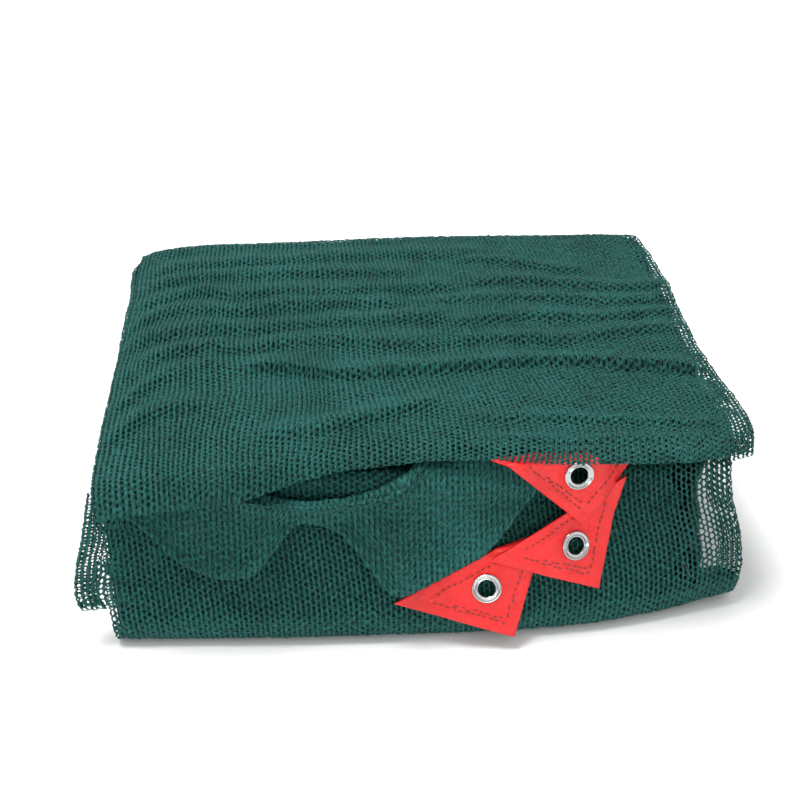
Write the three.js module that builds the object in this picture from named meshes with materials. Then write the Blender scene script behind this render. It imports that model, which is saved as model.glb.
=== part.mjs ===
// Folded harvest net: a knitted ground net folded back and forth into a flat pack.
// Three of its corners hang out of the front, each with a sewn patch and an eyelet.
// Millimetres, +Z up, the front faces -Y. The origin ends under the middle of the box.
import * as THREE from 'three';

// Driving dimensions of the pack
const LAYERS = 18;           // layers in the stack, counted from the floor
const PITCH = 7.3;           // height from one layer to the next
const SHEET = 4.6;           // a layer: several plies of soft knit laid together
const OUTER_SHEET = 4.0;     // the looser layers above the head of the front wrap
const WRAP = 4.0;            // the ply bundle that runs up the front
const HEM = 1.8;             // the single edge of the hanging folds
const BEND = 10;             // centre line radius where the front wrap turns
const TURN_GAP = 2.2;        // room between a hidden fold and the front wrap
const SLACK = 0.9;           // room between the front wrap and the fold that hangs on it
const FOOT = 0.5 * SHEET;    // centre line height of the floor layer
const HEAD_LAYER = 14;       // the layer that the front wrap runs into
const HEAD = FOOT + HEAD_LAYER * PITCH;
const TOP = FOOT + (LAYERS - 1) * PITCH;

// Driving dimensions of the patches and eyelets
const PATCH_LEG = 86;        // the two short sides of a triangular patch
const PATCH_SHEET = 1.6;     // coated cloth folded double round the net's corner
const PATCH_CORNER = 2.5;    // how far a patch's corners are rounded
const SEAT_EDGE = 1.2;       // the flat round the eyelet reaches this far past its flange
const EYELET_HOLE = 12;
const EYELET_FLANGE = 20.6;
const EYELET_WALL = 0.8;
const CLEAR = 0.4;           // room between an eyelet and its patch

// Each layer's own width, and how far back its fold reaches. The layers inside are narrower
// than the wrap in front of them
const LAYER = table(['layer', 'left', 'right', 'back'], [
  [0, -211, 199, 172], [1, -212, 200, 172], [2, -213, 201, 177], [3, -213, 202, 177],
  [4, -213, 202, 173], [5, -213, 202, 173], [6, -213, 202, 179], [7, -214, 202, 179],
  [8, -214, 202, 175], [9, -214, 202, 175], [10, -215, 202, 180], [11, -216, 202, 180],
  [12, -217, 203, 176], [13, -218, 204, 176], [14, -231, 212, 172], [15, -229, 216, 172],
  [16, -231, 222, 177], [17, -230, 228, 177],
]);

// The width of the front wrap, by the layer at its height: a loose fold stands out at its left
const WRAP_EDGE = table(['layer', 'left', 'right'], [
  [0, -217, 218], [1, -219, 221], [2, -225, 223], [3, -232, 224], [4, -240, 223],
  [5, -243, 222], [6, -243, 222], [7, -242, 220], [8, -241, 219], [9, -239, 217],
  [10, -237, 216], [11, -236, 214], [12, -234, 213], [13, -233, 212], [14, -231, 212],
]);

// Above the wrap's head the layers are drawn in, from `start` backwards, by so much at each end
const WAIST = { layer: 13.5, left: 8, right: 16, start: -110, length: 110, from: 170, fade: 40 };

// The front wrap along the pack: where its foot stands, and how much it leans back
const FRONT = table(['x', 'foot', 'lean'], [
  [-243, -178, 0.37], [-218, -180, 0.39], [-160, -184, 0.43], [-91, -187, 0.45],
  [-22, -188, 0.45], [40, -189, 0.46], [90, -187, 0.50], [119, -184, 0.49],
  [164, -174, 0.40], [200, -165, 0.32], [228, -159, 0.30],
]);

// The fold that hangs over the wrap: its length down the front, and its open pouch
const FLAP = table(['x', 'hang', 'pouch'], [
  [-243, 8, 0], [-212, 8, 0], [-190, 27, 0], [-160, 57, 0], [-120, 60, 3], [-92, 24, 8],
  [-60, 34, 7], [-27, 84, 4], [5, 70, 0], [40, 52, 0], [72, 12, 0], [104, -10, 0],
  [150, -8, 0], [228, -6, 0],
]);

// The edge of the top layer along the front
const LIP = table(['x', 'reach', 'height'], [
  [-243, -160, 104], [-205, -166, 107], [-160, -169, 109], [-120, -165, 112],
  [-92, -157, 118], [-60, -150, 122], [5, -146, 125], [50, -153, 128], [87, -161, 128],
  [120, -162, 128], [150, -159, 125], [182, -156, 123], [203, -147, 121], [230, -126, 118],
]);

// Soft ridges of the top layer: where each one runs at the left and right end
const RIDGE = table(['left', 'right', 'height', 'width'], [
  [148, 140, 1.2, 9], [112, 100, 1.4, 9], [74, 66, 1.2, 9], [30, 42, 1.0, 9],
  [-14, -2, 1.5, 10], [-60, -42, 1.6, 11], [-104, -92, 1.2, 10],
]);

// How the pack thins towards its two ends
const ENDS = table(['x', 'height'], [
  [-243, 0.88], [-228, 0.90], [-200, 0.97], [-165, 1], [175, 1], [208, 0.98], [230, 0.93],
]);

// Where the sections stand
const SECTIONS = [-230, -212, -190, -160, -120, -92, -60, -27, 5, 40, 72, 104, 150, 200, 230];

// The patches: where the square corner hangs, how the flat round the eyelet is turned,
// and how the cloth bends beside it and above it
const PATCHES = [
  {
    name: 'lower', corner: [55.6, -196.8, 9.1], yaw: -3.5, tilt: 23.6, roll: 16,
    leg: PATCH_LEG, eyelet: [28, 28],
    across: bends([-6, 0], [0, 14]),
    up: bends([0, 0]),
  },
  {
    name: 'middle', corner: [116.2, -176.5, 31.9], yaw: 20, tilt: 24.5, roll: 23.5,
    leg: 82, eyelet: [25.5, 26.5],
    across: bends([-38, -16], [-32, 0], [-4, 0], [2, -14]),
    up: bends([46, 0], [52, -14]),
  },
  {
    name: 'upper', corner: [104, -162.7, 77.5], yaw: 8, tilt: 11, roll: 44,
    leg: PATCH_LEG, eyelet: [28, 25],
    across: bends([-16, -8], [-12, 0], [12, 0], [18, 24]),
    up: bends([47.8, 0], [51.8, 79]),
  },
];

const COLOUR = { net: 0x2a5a50, patch: 0xe0241f, eyelet: 0xc9cbcc };

// The bend of a patch along one of its ways, row by row
function bends(...rows) {
  return table(['at', 'angle'], rows);
}

// A short table of rows with named columns
function table(columns, rows) {
  return rows.map((row) => Object.fromEntries(columns.map((name, i) => [name, row[i]])));
}

// The value of one column between two rows
function read(rows, key, column, at) {
  if (at <= rows[0][key]) return rows[0][column];
  for (let i = 1; i < rows.length; i += 1) {
    const low = rows[i - 1];
    const high = rows[i];
    if (at <= high[key]) {
      const part = (at - low[key]) / (high[key] - low[key]);
      return low[column] + (high[column] - low[column]) * part;
    }
  }
  return rows[rows.length - 1][column];
}

const mix = (a, b, part) => a + (b - a) * part;
const ease = (part) => THREE.MathUtils.smoothstep(part, 0, 1);
const layerHeight = (layer) => FOOT + layer * PITCH;

// The front wrap as a line that leans back, with a round head and a round foot
function frontAt(x) {
  const lean = read(FRONT, 'x', 'lean', x);
  const foot = read(FRONT, 'x', 'foot', x) + 0.5 * WRAP;
  const slope = Math.hypot(1, lean);
  const lineY = (z) => foot + lean * (z - BEND);
  return {
    lean,
    slope,
    lineY,
    out: [-1 / slope, lean / slope],
    down: [-lean / slope, -1 / slope],
    headY: lineY(HEAD - BEND) + BEND * slope,
    footY: lineY(FOOT + BEND) + BEND * slope,
    arc: 0.5 * Math.PI - Math.atan(lean),
  };
}

// A point that lies `off` outside the wrap, `along` its surface from the top of its head
function onFront(x, along, off) {
  const front = frontAt(x);
  if (along <= 0) return [front.headY - along, HEAD + off];
  const angle = Math.min(along / BEND, front.arc);
  const rest = along - angle * BEND;
  const y = front.headY - (BEND + off) * Math.sin(angle) + front.down[0] * rest;
  const z = HEAD - BEND + (BEND + off) * Math.cos(angle) + front.down[1] * rest;
  return [y, z];
}

// The course: the centre line of the folded cloth from its hidden end to the lip.
// Each sample knows its layer, half its thickness, and its place at any x
const course = [];

function sample(layer, half, place, edge = LAYER) {
  course.push({ layer, half, place, edge });
}

function run(layer, half, from, to, steps) {
  for (let i = 0; i <= steps; i += 1) {
    sample(layer, half, (x) => [mix(from(x), to(x), i / steps), layerHeight(layer)]);
  }
}

// A fold between two layers, drawn from the first to the second
function fold(first, second, half, centre, side, steps) {
  const middle = 0.5 * (layerHeight(first) + layerHeight(second));
  const rise = 0.5 * (layerHeight(second) - layerHeight(first));
  for (let i = 1; i < steps; i += 1) {
    const angle = Math.PI * (i / steps - 0.5);
    sample(mix(first, second, i / steps), half, (x) => [
      centre(x) + side * Math.abs(rise) * Math.cos(angle),
      middle + rise * Math.sin(angle),
    ]);
  }
}

// The back edge of a layer waves a little along the pack, each layer in its own way
function backOf(layer) {
  const row = LAYER[layer];
  const wave = 2.2;
  const length = 150 + 9 * (layer % 4);
  const start = 60 * layer;
  return (x) => row.back + wave * Math.sin((x + start) / length * Math.PI) - backCorner(x);
}

// The back corners are rounded, the right one more
function backCorner(x) {
  const reach = 26;
  const left = { from: -205, depth: 7 };
  const right = { from: 196, depth: 14 };
  const nearLeft = Math.max(0, left.from - x) / reach;
  const nearRight = Math.max(0, x - right.from) / reach;
  return left.depth * nearLeft ** 2 + right.depth * nearRight ** 2;
}

// The hidden folds stop short of the front wrap
function innerFront(first, second) {
  const middle = 0.5 * (layerHeight(first) + layerHeight(second));
  const reach = 0.5 * WRAP + TURN_GAP + 0.5 * PITCH + 0.5 * SHEET;
  return (x) => {
    const front = frontAt(x);
    return front.lineY(middle) + reach * front.slope;
  };
}

const half = 0.5 * SHEET;
const outerHalf = 0.5 * OUTER_SHEET;
const wrapHalf = 0.5 * WRAP;
const INNER = HEAD_LAYER - 1;
const FOLD_STEPS = 4;

// The hidden layers, from the highest down to the floor
run(INNER, half, (x) => frontAt(x).headY + 2, backOf(INNER), 2);
for (let layer = INNER; layer > 1; layer -= 2) {
  fold(layer, layer - 1, half, backOf(layer), 1, FOLD_STEPS);
  run(layer - 1, half, backOf(layer), innerFront(layer - 1, layer - 2), 2);
  fold(layer - 1, layer - 2, half, innerFront(layer - 1, layer - 2), -1, 3);
  run(layer - 2, half, innerFront(layer - 1, layer - 2), backOf(layer - 2), 2);
}
fold(1, 0, half, backOf(1), 1, FOLD_STEPS);
run(0, half, backOf(1), (x) => frontAt(x).footY, 4);

// The wrap: round the foot, up the front and round the head
const ARC_STEPS = 4;
const FOOT_LAYER = 1.3;      // the wrap takes its width from the layers that it covers
const NECK_LAYER = HEAD_LAYER - 1.2;
for (let i = 1; i < ARC_STEPS; i += 1) {
  sample(0.4 * i, mix(half, wrapHalf, i / ARC_STEPS), (x) => {
    const front = frontAt(x);
    const angle = (0.5 * Math.PI + Math.atan(front.lean)) * i / ARC_STEPS;
    return [front.footY - BEND * Math.sin(angle), FOOT + BEND - BEND * Math.cos(angle)];
  }, WRAP_EDGE);
}
const WALL_STEPS = 6;
for (let i = 0; i <= WALL_STEPS; i += 1) {
  const part = i / WALL_STEPS;
  sample(mix(FOOT_LAYER, NECK_LAYER, part), wrapHalf, (x) => {
    const front = frontAt(x);
    const low = FOOT + BEND + front.out[1] * BEND / 5;
    const high = HEAD - BEND + front.out[1] * BEND;
    const z = mix(low, high, part);
    return [front.lineY(z), z];
  }, WRAP_EDGE);
}
for (let i = ARC_STEPS - 1; i >= 0; i -= 1) {
  const layer = mix(HEAD_LAYER, NECK_LAYER, i / ARC_STEPS);
  const headAt = (x) => onFront(x, frontAt(x).arc * BEND * i / ARC_STEPS, 0);
  sample(layer, wrapHalf, headAt, WRAP_EDGE);
}
const HEAD_FLAT = 12;        // past its head the wrap is as thick as a layer
run(HEAD_LAYER, half, (x) => frontAt(x).headY + HEAD_FLAT, backOf(HEAD_LAYER), 2);
fold(HEAD_LAYER, 15, half, backOf(HEAD_LAYER), 1, FOLD_STEPS);

// The hanging fold: forward over the wrap's head, down the front, and back up again
const FLAP_START = -24;      // where the two layers begin to thin, behind the head
const FLAP_STEPS = 7;
const FLAP_CLOSE = 24;       // they lie close together this far down the front
const FLAP_LAYER = 14.5;
const flapHalf = 0.5 * HEM;
const PLY_GAP = 0.8;
const INNER_OFF = 0.5 * WRAP + SLACK + flapHalf;
const OUTER_OFF = INNER_OFF + HEM + PLY_GAP;

function flapOff(x, along, flat, hung) {
  return mix(flat, hung, ease(along / FLAP_CLOSE));
}

// Its outer ply stands off a little way down, where the pouch is open
function pouch(x, along) {
  const middle = 13;
  const width = 9;
  const lift = read(FLAP, 'x', 'pouch', x);
  return lift * Math.exp(-(((along - middle) / width) ** 2));
}

const flapAt = (x, part) => mix(FLAP_START, read(FLAP, 'x', 'hang', x), part);
const innerFlap = (x, along) => flapOff(x, along, PITCH, INNER_OFF);
const outerFlap = (x, along) => flapOff(x, along, 2 * PITCH, OUTER_OFF) + pouch(x, along);

const flapThin = (i) => mix(outerHalf, flapHalf, ease(i / 3));
run(15, outerHalf, backOf(HEAD_LAYER), (x) => frontAt(x).headY - FLAP_START, 2);
for (let i = 1; i <= FLAP_STEPS; i += 1) {
  sample(mix(15, FLAP_LAYER, i / FLAP_STEPS), flapThin(i), (x) => {
    const along = flapAt(x, i / FLAP_STEPS);
    return onFront(x, along, innerFlap(x, along));
  });
}
sample(FLAP_LAYER, flapHalf, (x) => {
  const along = flapAt(x, 1);
  const low = innerFlap(x, along);
  const high = outerFlap(x, along);
  return onFront(x, along + 0.5 * (high - low), 0.5 * (low + high));
});
for (let i = FLAP_STEPS; i >= 1; i -= 1) {
  sample(mix(16, FLAP_LAYER, i / FLAP_STEPS), flapThin(i), (x) => {
    const along = flapAt(x, i / FLAP_STEPS);
    return onFront(x, along, outerFlap(x, along));
  });
}
run(16, outerHalf, (x) => frontAt(x).headY - FLAP_START, backOf(16), 3);
fold(16, 17, outerHalf, backOf(16), 1, FOLD_STEPS);

// The top layer, rippled, with its edge hanging as the lip. A ridge wanders back and forth
// along the pack, and stands higher in some places than in others
const WANDER = 4;
function ripple(x, y) {
  const along = (x + 230) / 460;
  let rise = 0;
  for (const ridge of RIDGE) {
    const middle = mix(ridge.left, ridge.right, along) + WANDER * Math.sin(x / 41 + ridge.left);
    const fade = 0.65 + 0.35 * Math.sin(x / 63 + 2 * ridge.left);
    rise += ridge.height * fade * Math.exp(-(((y - middle) / ridge.width) ** 2));
  }
  return rise;
}

// Near the lip the layer is one ply, and it rides up over the upper patch
const LIP_PLY = 1.1;
const HUMP = { x: 98, height: 2.3, width: 76 };
const LIFT_OFF = { start: -30, length: 90 };
function lipRise(x, y) {
  const over = HUMP.height * Math.exp(-(((x - HUMP.x) / HUMP.width) ** 2));
  return (LIP_PLY + over) * ease((LIFT_OFF.start - y) / LIFT_OFF.length);
}

const TOP_STEPS = 22;
const LIP_BEND = 15;
const topThin = (part) => mix(outerHalf, flapHalf, ease((part - 0.375) / 0.625));
for (let i = 0; i <= TOP_STEPS; i += 1) {
  sample(17, topThin(i / TOP_STEPS), (x) => {
    const front = read(LIP, 'x', 'reach', x) + LIP_BEND;
    const y = mix(backOf(16)(x), front, i / TOP_STEPS);
    return [y, TOP + ripple(x, y) * ease(4 * (1 - i / TOP_STEPS)) + lipRise(x, y)];
  });
}
const LIP_STEPS = 4;
for (let i = 1; i <= LIP_STEPS; i += 1) {
  const part = i / LIP_STEPS;
  sample(17, flapHalf, (x) => {
    const reach = read(LIP, 'x', 'reach', x);
    const height = read(LIP, 'x', 'height', x);
    const start = [reach + LIP_BEND, TOP + lipRise(x, reach + LIP_BEND)];
    const knee = [reach + 2, TOP + lipRise(x, reach)];
    const end = [reach, height];
    return [0, 1].map((axis) => {
      const first = mix(start[axis], knee[axis], part);
      const second = mix(knee[axis], end[axis], part);
      return mix(first, second, part);
    });
  });
}

// The pack thins at its ends, and its front toe lifts a little at the right: it starts
// behind the corner (x, y) and reaches its height `length` and `depth` further on
const TOE = { lift: 5, x: 150, length: 80, y: -90, depth: 60, fades: TOP + 20 };
function settle(x, y, z) {
  const thin = read(ENDS, 'x', 'height', x);
  const toe = TOE.lift * ease((x - TOE.x) / TOE.length) * ease((TOE.y - y) / TOE.depth);
  return toe * (1 - z / TOE.fades) + z * thin;
}

// The upper layers are narrower behind the front than at the lip
function drawIn(layer, x, y) {
  if (layer < WAIST.layer) return x;
  const left = WAIST.left * ease((-WAIST.from - x) / WAIST.fade);
  const right = WAIST.right * ease((x - WAIST.from) / WAIST.fade);
  return x + (left - right) * ease((y - WAIST.start) / WAIST.length);
}

// The outline of one section, with the cloth's thickness on both sides of the course
const MITER_LIMIT = 1.25;
function sectionPoints(part) {
  const line = course.map(({ layer, place, edge }) => {
    const left = read(edge, 'layer', 'left', layer);
    const right = read(edge, 'layer', 'right', layer);
    const x = mix(left, right, part);
    const [y, z] = place(x);
    return { x: drawIn(layer, x, y), y, z };
  });
  const near = [];
  const far = [];
  line.forEach((point, i) => {
    const before = line[Math.max(0, i - 1)];
    const after = line[Math.min(line.length - 1, i + 1)];
    const first = direction(before, point) ?? direction(point, after);
    const second = direction(point, after) ?? first;
    const sum = [first[0] + second[0], first[1] + second[1]];
    const length = Math.hypot(sum[0], sum[1]);
    const miter = Math.min(MITER_LIMIT, 2 / length);
    const normal = [-sum[1] / length, sum[0] / length];
    const reach = course[i].half * miter;
    near.push([point.x, point.y + normal[0] * reach, point.z + normal[1] * reach]);
    far.push([point.x, point.y - normal[0] * reach, point.z - normal[1] * reach]);
  });
  const ring = [...near, ...far.reverse()];
  return ring.map(([x, y, z]) => new THREE.Vector3(x, y, settle(x, y, z)));
}

function direction(from, to) {
  const run = [to.y - from.y, to.z - from.z];
  const length = Math.hypot(run[0], run[1]);
  return length > 1e-6 ? [run[0] / length, run[1] / length] : undefined;
}

function meshFrom(points, faces) {
  const geometry = new THREE.BufferGeometry();
  const flat = points.flatMap((point) => [point.x, point.y, point.z]);
  geometry.setAttribute('position', new THREE.Float32BufferAttribute(flat, 3));
  geometry.setIndex(faces.flat());
  geometry.computeVertexNormals();
  return geometry;
}

// The net is one solid: its sections joined from end to end, and closed at both ends
function makeNet() {
  const width = SECTIONS[SECTIONS.length - 1] - SECTIONS[0];
  const rings = SECTIONS.map((x) => sectionPoints((x - SECTIONS[0]) / width));
  const count = rings[0].length;
  const faces = [];
  for (let station = 0; station + 1 < rings.length; station += 1) {
    for (let i = 0; i < count; i += 1) {
      const a = station * count + i;
      const b = station * count + (i + 1) % count;
      faces.push([a, b, b + count], [a, b + count, a + count]);
    }
  }
  const last = (rings.length - 1) * count;
  const capOf = (ring) => THREE.ShapeUtils.triangulateShape(
    ring.map((point) => new THREE.Vector2(point.y, point.z)), []);
  for (const [a, b, c] of capOf(rings[0])) faces.push([a, b, c]);
  for (const [a, b, c] of capOf(rings[rings.length - 1])) faces.push([last + c, last + b, last + a]);
  return outward(meshFrom(rings.flat(), faces));
}

// Faces point out: a closed mesh that measures a negative volume is turned over
function outward(geometry) {
  const place = geometry.getAttribute('position');
  const index = geometry.getIndex().array;
  const corner = [0, 1, 2].map(() => new THREE.Vector3());
  let volume = 0;
  for (let i = 0; i < index.length; i += 3) {
    corner.forEach((point, k) => point.fromBufferAttribute(place, index[i + k]));
    volume += corner[0].dot(corner[1].cross(corner[2])) / 6;
  }
  if (volume < 0) {
    for (let i = 0; i < index.length; i += 3) {
      [index[i], index[i + 2]] = [index[i + 2], index[i]];
    }
  }
  return geometry;
}

// How far a bent strip runs along its plane, and how far it runs behind it
function bendRun(rows, length) {
  const steps = 24;
  let along = 0;
  let behind = 0;
  for (let i = 0; i < steps; i += 1) {
    const at = length * (i + 0.5) / steps;
    const angle = THREE.MathUtils.degToRad(read(rows, 'at', 'angle', at));
    along += Math.cos(angle) * length / steps;
    behind += Math.sin(angle) * length / steps;
  }
  return [along, behind];
}

// A patch's own surface: flat place (a, b) from its square corner, raised by `lift`
function patchSurface(patch) {
  const [roll, yaw, tilt] = [patch.roll, patch.yaw, patch.tilt].map(THREE.MathUtils.degToRad);
  const right = new THREE.Vector3(Math.cos(yaw), Math.sin(yaw), 0);
  const back = new THREE.Vector3(-Math.sin(yaw), Math.cos(yaw), 0);
  const rise = back.clone().multiplyScalar(Math.sin(tilt)).setZ(Math.cos(tilt));
  const inward = back.clone().multiplyScalar(Math.cos(tilt)).setZ(-Math.sin(tilt));
  const bare = (a, b) => {
    const across = -a * Math.cos(roll) + b * Math.sin(roll);
    const up = a * Math.sin(roll) + b * Math.cos(roll);
    const [sideways, sideBehind] = bendRun(patch.across, across);
    const [upwards, upBehind] = bendRun(patch.up, up);
    return new THREE.Vector3(...patch.corner)
      .addScaledVector(right, sideways)
      .addScaledVector(rise, upwards)
      .addScaledVector(inward, sideBehind + upBehind);
  };
  const normal = (a, b) => {
    const step = 0.5;
    const along = bare(a + step, b).sub(bare(a - step, b));
    const up = bare(a, b + step).sub(bare(a, b - step));
    return up.cross(along).normalize();
  };
  return { bare, normal, at: (a, b, lift) => bare(a, b).addScaledVector(normal(a, b), lift) };
}

// The flat outline of a patch: a triangle with a square corner and round corners
const OUTLINE_POINTS = 33;
function patchOutline(leg) {
  const corners = [[0, 0], [leg, 0], [0, leg]];
  const shape = new THREE.Shape();
  corners.forEach((corner, i) => {
    const before = new THREE.Vector2(...corners[(i + 2) % 3]);
    const here = new THREE.Vector2(...corner);
    const after = new THREE.Vector2(...corners[(i + 1) % 3]);
    const start = here.clone().lerp(before, PATCH_CORNER / here.distanceTo(before));
    const end = here.clone().lerp(after, PATCH_CORNER / here.distanceTo(after));
    if (i === 0) shape.moveTo(start.x, start.y);
    else shape.lineTo(start.x, start.y);
    shape.quadraticCurveTo(here.x, here.y, end.x, end.y);
  });
  shape.closePath();
  return shape.getSpacedPoints(OUTLINE_POINTS).slice(0, OUTLINE_POINTS);
}

// A patch is a thin plate with a round hole, made of rings from the hole to its edge
function makePatch(patch) {
  const surface = patchSurface(patch);
  const hole = 0.5 * EYELET_HOLE + EYELET_WALL + 1.2 * CLEAR;
  const middle = new THREE.Vector2(...patch.eyelet);
  const outline = patchOutline(patch.leg);
  const seat = 0.5 * EYELET_FLANGE + SEAT_EDGE;
  const bands = [0, 0.33, 0.66, 1];
  const points = [];
  const ringPoint = (edge, radius, band) => {
    const angle = Math.atan2(edge.y - middle.y, edge.x - middle.x);
    const rim = new THREE.Vector2(Math.cos(angle), Math.sin(angle)).multiplyScalar(radius);
    return rim.add(middle).lerp(edge, band);
  };
  for (const side of [0.5, -0.5]) {
    const rings = [outline.map((edge) => ringPoint(edge, hole, 0))];
    for (const band of bands) rings.push(outline.map((edge) => ringPoint(edge, seat, band)));
    for (const flat of rings.flat()) points.push(surface.at(flat.x, flat.y, side * PATCH_SHEET));
  }
  const count = outline.length;
  const ringCount = bands.length + 1;
  const ringStart = (side, ring) => (side * ringCount + ring) * count;
  const faces = [];
  const strip = (first, second, flip) => {
    for (let i = 0; i < count; i += 1) {
      const next = (i + 1) % count;
      const quad = [first + i, first + next, second + next, second + i];
      if (flip) quad.reverse();
      faces.push([quad[0], quad[1], quad[2]], [quad[0], quad[2], quad[3]]);
    }
  };
  for (let ring = 0; ring + 1 < ringCount; ring += 1) {
    strip(ringStart(0, ring), ringStart(0, ring + 1), false);
    strip(ringStart(1, ring), ringStart(1, ring + 1), true);
  }
  strip(ringStart(1, 0), ringStart(0, 0), false);
  strip(ringStart(0, ringCount - 1), ringStart(1, ringCount - 1), false);
  return outward(meshFrom(points, faces));
}

// An eyelet: two flanges and the barrel between them, turned from one closed profile
const EYELET_SIDES = 20;
function makeEyelet() {
  const bore = 0.5 * EYELET_HOLE;
  const flange = 0.5 * EYELET_FLANGE;
  const inner = 0.5 * PATCH_SHEET + CLEAR;
  const outer = inner + EYELET_WALL;
  const slope = 0.6;
  const round = 0.3;
  const half = [
    [bore + EYELET_WALL, inner], [flange, inner], [flange - slope, outer], [bore + round, outer],
    [bore, outer - round],
  ];
  const below = half.map(([radius, height]) => [radius, -height]).reverse();
  const profile = [...half, ...below, half[0]];
  return new THREE.LatheGeometry(profile.map(([r, h]) => new THREE.Vector2(r, h)), EYELET_SIDES);
}

function clothMaterial(color, roughness) {
  return new THREE.MeshStandardMaterial({ color, roughness, metalness: 0 });
}

const group = new THREE.Group();

const net = new THREE.Mesh(makeNet(), clothMaterial(COLOUR.net, 0.85));
net.name = 'net';
group.add(net);

const eyeletMetal = new THREE.MeshStandardMaterial({
  color: COLOUR.eyelet,
  roughness: 0.3,
  metalness: 1,
});

for (const patch of PATCHES) {
  const plate = new THREE.Mesh(makePatch(patch), clothMaterial(COLOUR.patch, 0.4));
  plate.name = `patch_${patch.name}`;
  group.add(plate);

  const surface = patchSurface(patch);
  const eyelet = new THREE.Mesh(makeEyelet(), eyeletMetal);
  eyelet.name = `eyelet_${patch.name}`;
  eyelet.position.copy(surface.bare(...patch.eyelet));
  const axis = surface.normal(...patch.eyelet);
  eyelet.quaternion.setFromUnitVectors(new THREE.Vector3(0, 1, 0), axis);
  group.add(eyelet);
}

// The origin goes under the middle of everything
const box = new THREE.Box3().setFromObject(group);
const middle = box.getCenter(new THREE.Vector3());
group.position.set(-middle.x, -middle.y, -box.min.z);

export default group;
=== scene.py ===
# %% [markdown]
# # A folded harvest net
# This is a knitted ground net for catching fruit, folded into a flat pack. Three of its corners hang
# out of the front, each with a red sewn patch and a metal eyelet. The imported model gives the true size
# and place of each piece. Blender gives the knit, the patches and the metal.

import math

import bmesh
import bpy
import numpy as np
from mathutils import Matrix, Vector


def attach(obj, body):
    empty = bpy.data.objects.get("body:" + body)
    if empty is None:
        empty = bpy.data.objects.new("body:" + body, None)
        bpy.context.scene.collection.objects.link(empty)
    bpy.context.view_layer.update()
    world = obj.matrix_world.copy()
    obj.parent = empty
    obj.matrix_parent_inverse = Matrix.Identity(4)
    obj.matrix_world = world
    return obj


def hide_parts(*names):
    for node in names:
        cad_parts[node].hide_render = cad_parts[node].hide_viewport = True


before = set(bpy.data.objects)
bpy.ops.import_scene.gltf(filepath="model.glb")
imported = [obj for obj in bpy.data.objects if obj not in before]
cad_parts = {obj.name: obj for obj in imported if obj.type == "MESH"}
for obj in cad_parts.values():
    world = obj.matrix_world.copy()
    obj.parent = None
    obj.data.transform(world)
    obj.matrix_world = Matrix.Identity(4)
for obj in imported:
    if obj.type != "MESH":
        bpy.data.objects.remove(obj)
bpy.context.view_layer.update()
print("nodes:", sorted(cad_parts))

# %% [markdown]
# The shapes below are worked out in millimetres, in the pack's own coordinates. The model's origin is
# under the middle of its box, so one shift brings the points there, and one factor makes them metres.

# %% Units and place
MM = 0.001
SHIFT = np.array([7.5, 4.32, 0.0])


def to_frame(points):
    return (np.asarray(points, float) + SHIFT) * MM


# %% [markdown]
# ## The camera
# It comes first, so that every later piece can be judged through it. The net was seen from the front, a
# little from the left and about a third of the way up. The focal length and the distance together give
# the right perspective: the back edge of the pack is drawn shorter than the front one.

# %% Camera
ELEVATION = math.radians(32.5)
AZIMUTH = math.radians(-3.5)
DISTANCE = 1190
AIM = [-9, 30, 60]
LENS = 67.5
SENSOR = 36


def place_camera():
    data = bpy.data.cameras.new("camera")
    data.lens = LENS
    data.sensor_width = SENSOR
    back = Vector((math.sin(AZIMUTH) * math.cos(ELEVATION),
                   -math.cos(AZIMUTH) * math.cos(ELEVATION),
                   math.sin(ELEVATION)))
    camera = bpy.data.objects.new("camera", data)
    camera.location = Vector(to_frame(AIM)) + back * DISTANCE * MM
    camera.rotation_euler = (-back).to_track_quat("-Z", "Y").to_euler()
    bpy.context.scene.collection.objects.link(camera)
    bpy.context.scene.camera = camera
    print("camera at", [round(value, 3) for value in camera.location])


place_camera()

# %% [markdown]
# ## Floor and light
# A plain pale floor and a soft white world keep the look of a studio. The world is darker towards the
# horizon, so that metal and folds have something to show. A soft sun from above lights the top of the
# pack more than its front, as a ceiling of lamps would. A small lamp low in front brightens the coated
# patches, which mirror light from there to the camera.

# %% Floor and light
FLOOR_SIZE = 12
FLOOR_DROP = 0.0004
FLOOR_WHITE = 0.97
HORIZON = 0.35
ZENITH = 0.80
FULL_HEIGHT = 0.6
SUN_PLACE = (-0.30, 0.16, 1.0)
SUN_STRENGTH = 2.45
SUN_SOFTNESS = 26
GLINT_PLACE = (-0.05, -1.44, 0.40)
GLINT_POWER = 2.6
GLINT_SIZE = 0.20


def add_floor():
    bpy.ops.mesh.primitive_plane_add(size=FLOOR_SIZE, location=(0, 0, -FLOOR_DROP))
    floor = bpy.context.object
    floor.name = "floor"
    paint = bpy.data.materials.new("floor_paint")
    paint.use_nodes = True
    shader = paint.node_tree.nodes["Principled BSDF"]
    shader.inputs["Base Color"].default_value = (FLOOR_WHITE, FLOOR_WHITE, FLOOR_WHITE, 1)
    shader.inputs["Roughness"].default_value = 0.9
    floor.data.materials.append(paint)


def add_lamp(name, kind, location, **settings):
    data = bpy.data.lights.new(name, kind)
    for key, value in settings.items():
        setattr(data, key, value)
    lamp = bpy.data.objects.new(name, data)
    lamp.location = location
    lamp.rotation_euler = (-Vector(location)).to_track_quat("-Z", "Y").to_euler()
    bpy.context.scene.collection.objects.link(lamp)


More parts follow.
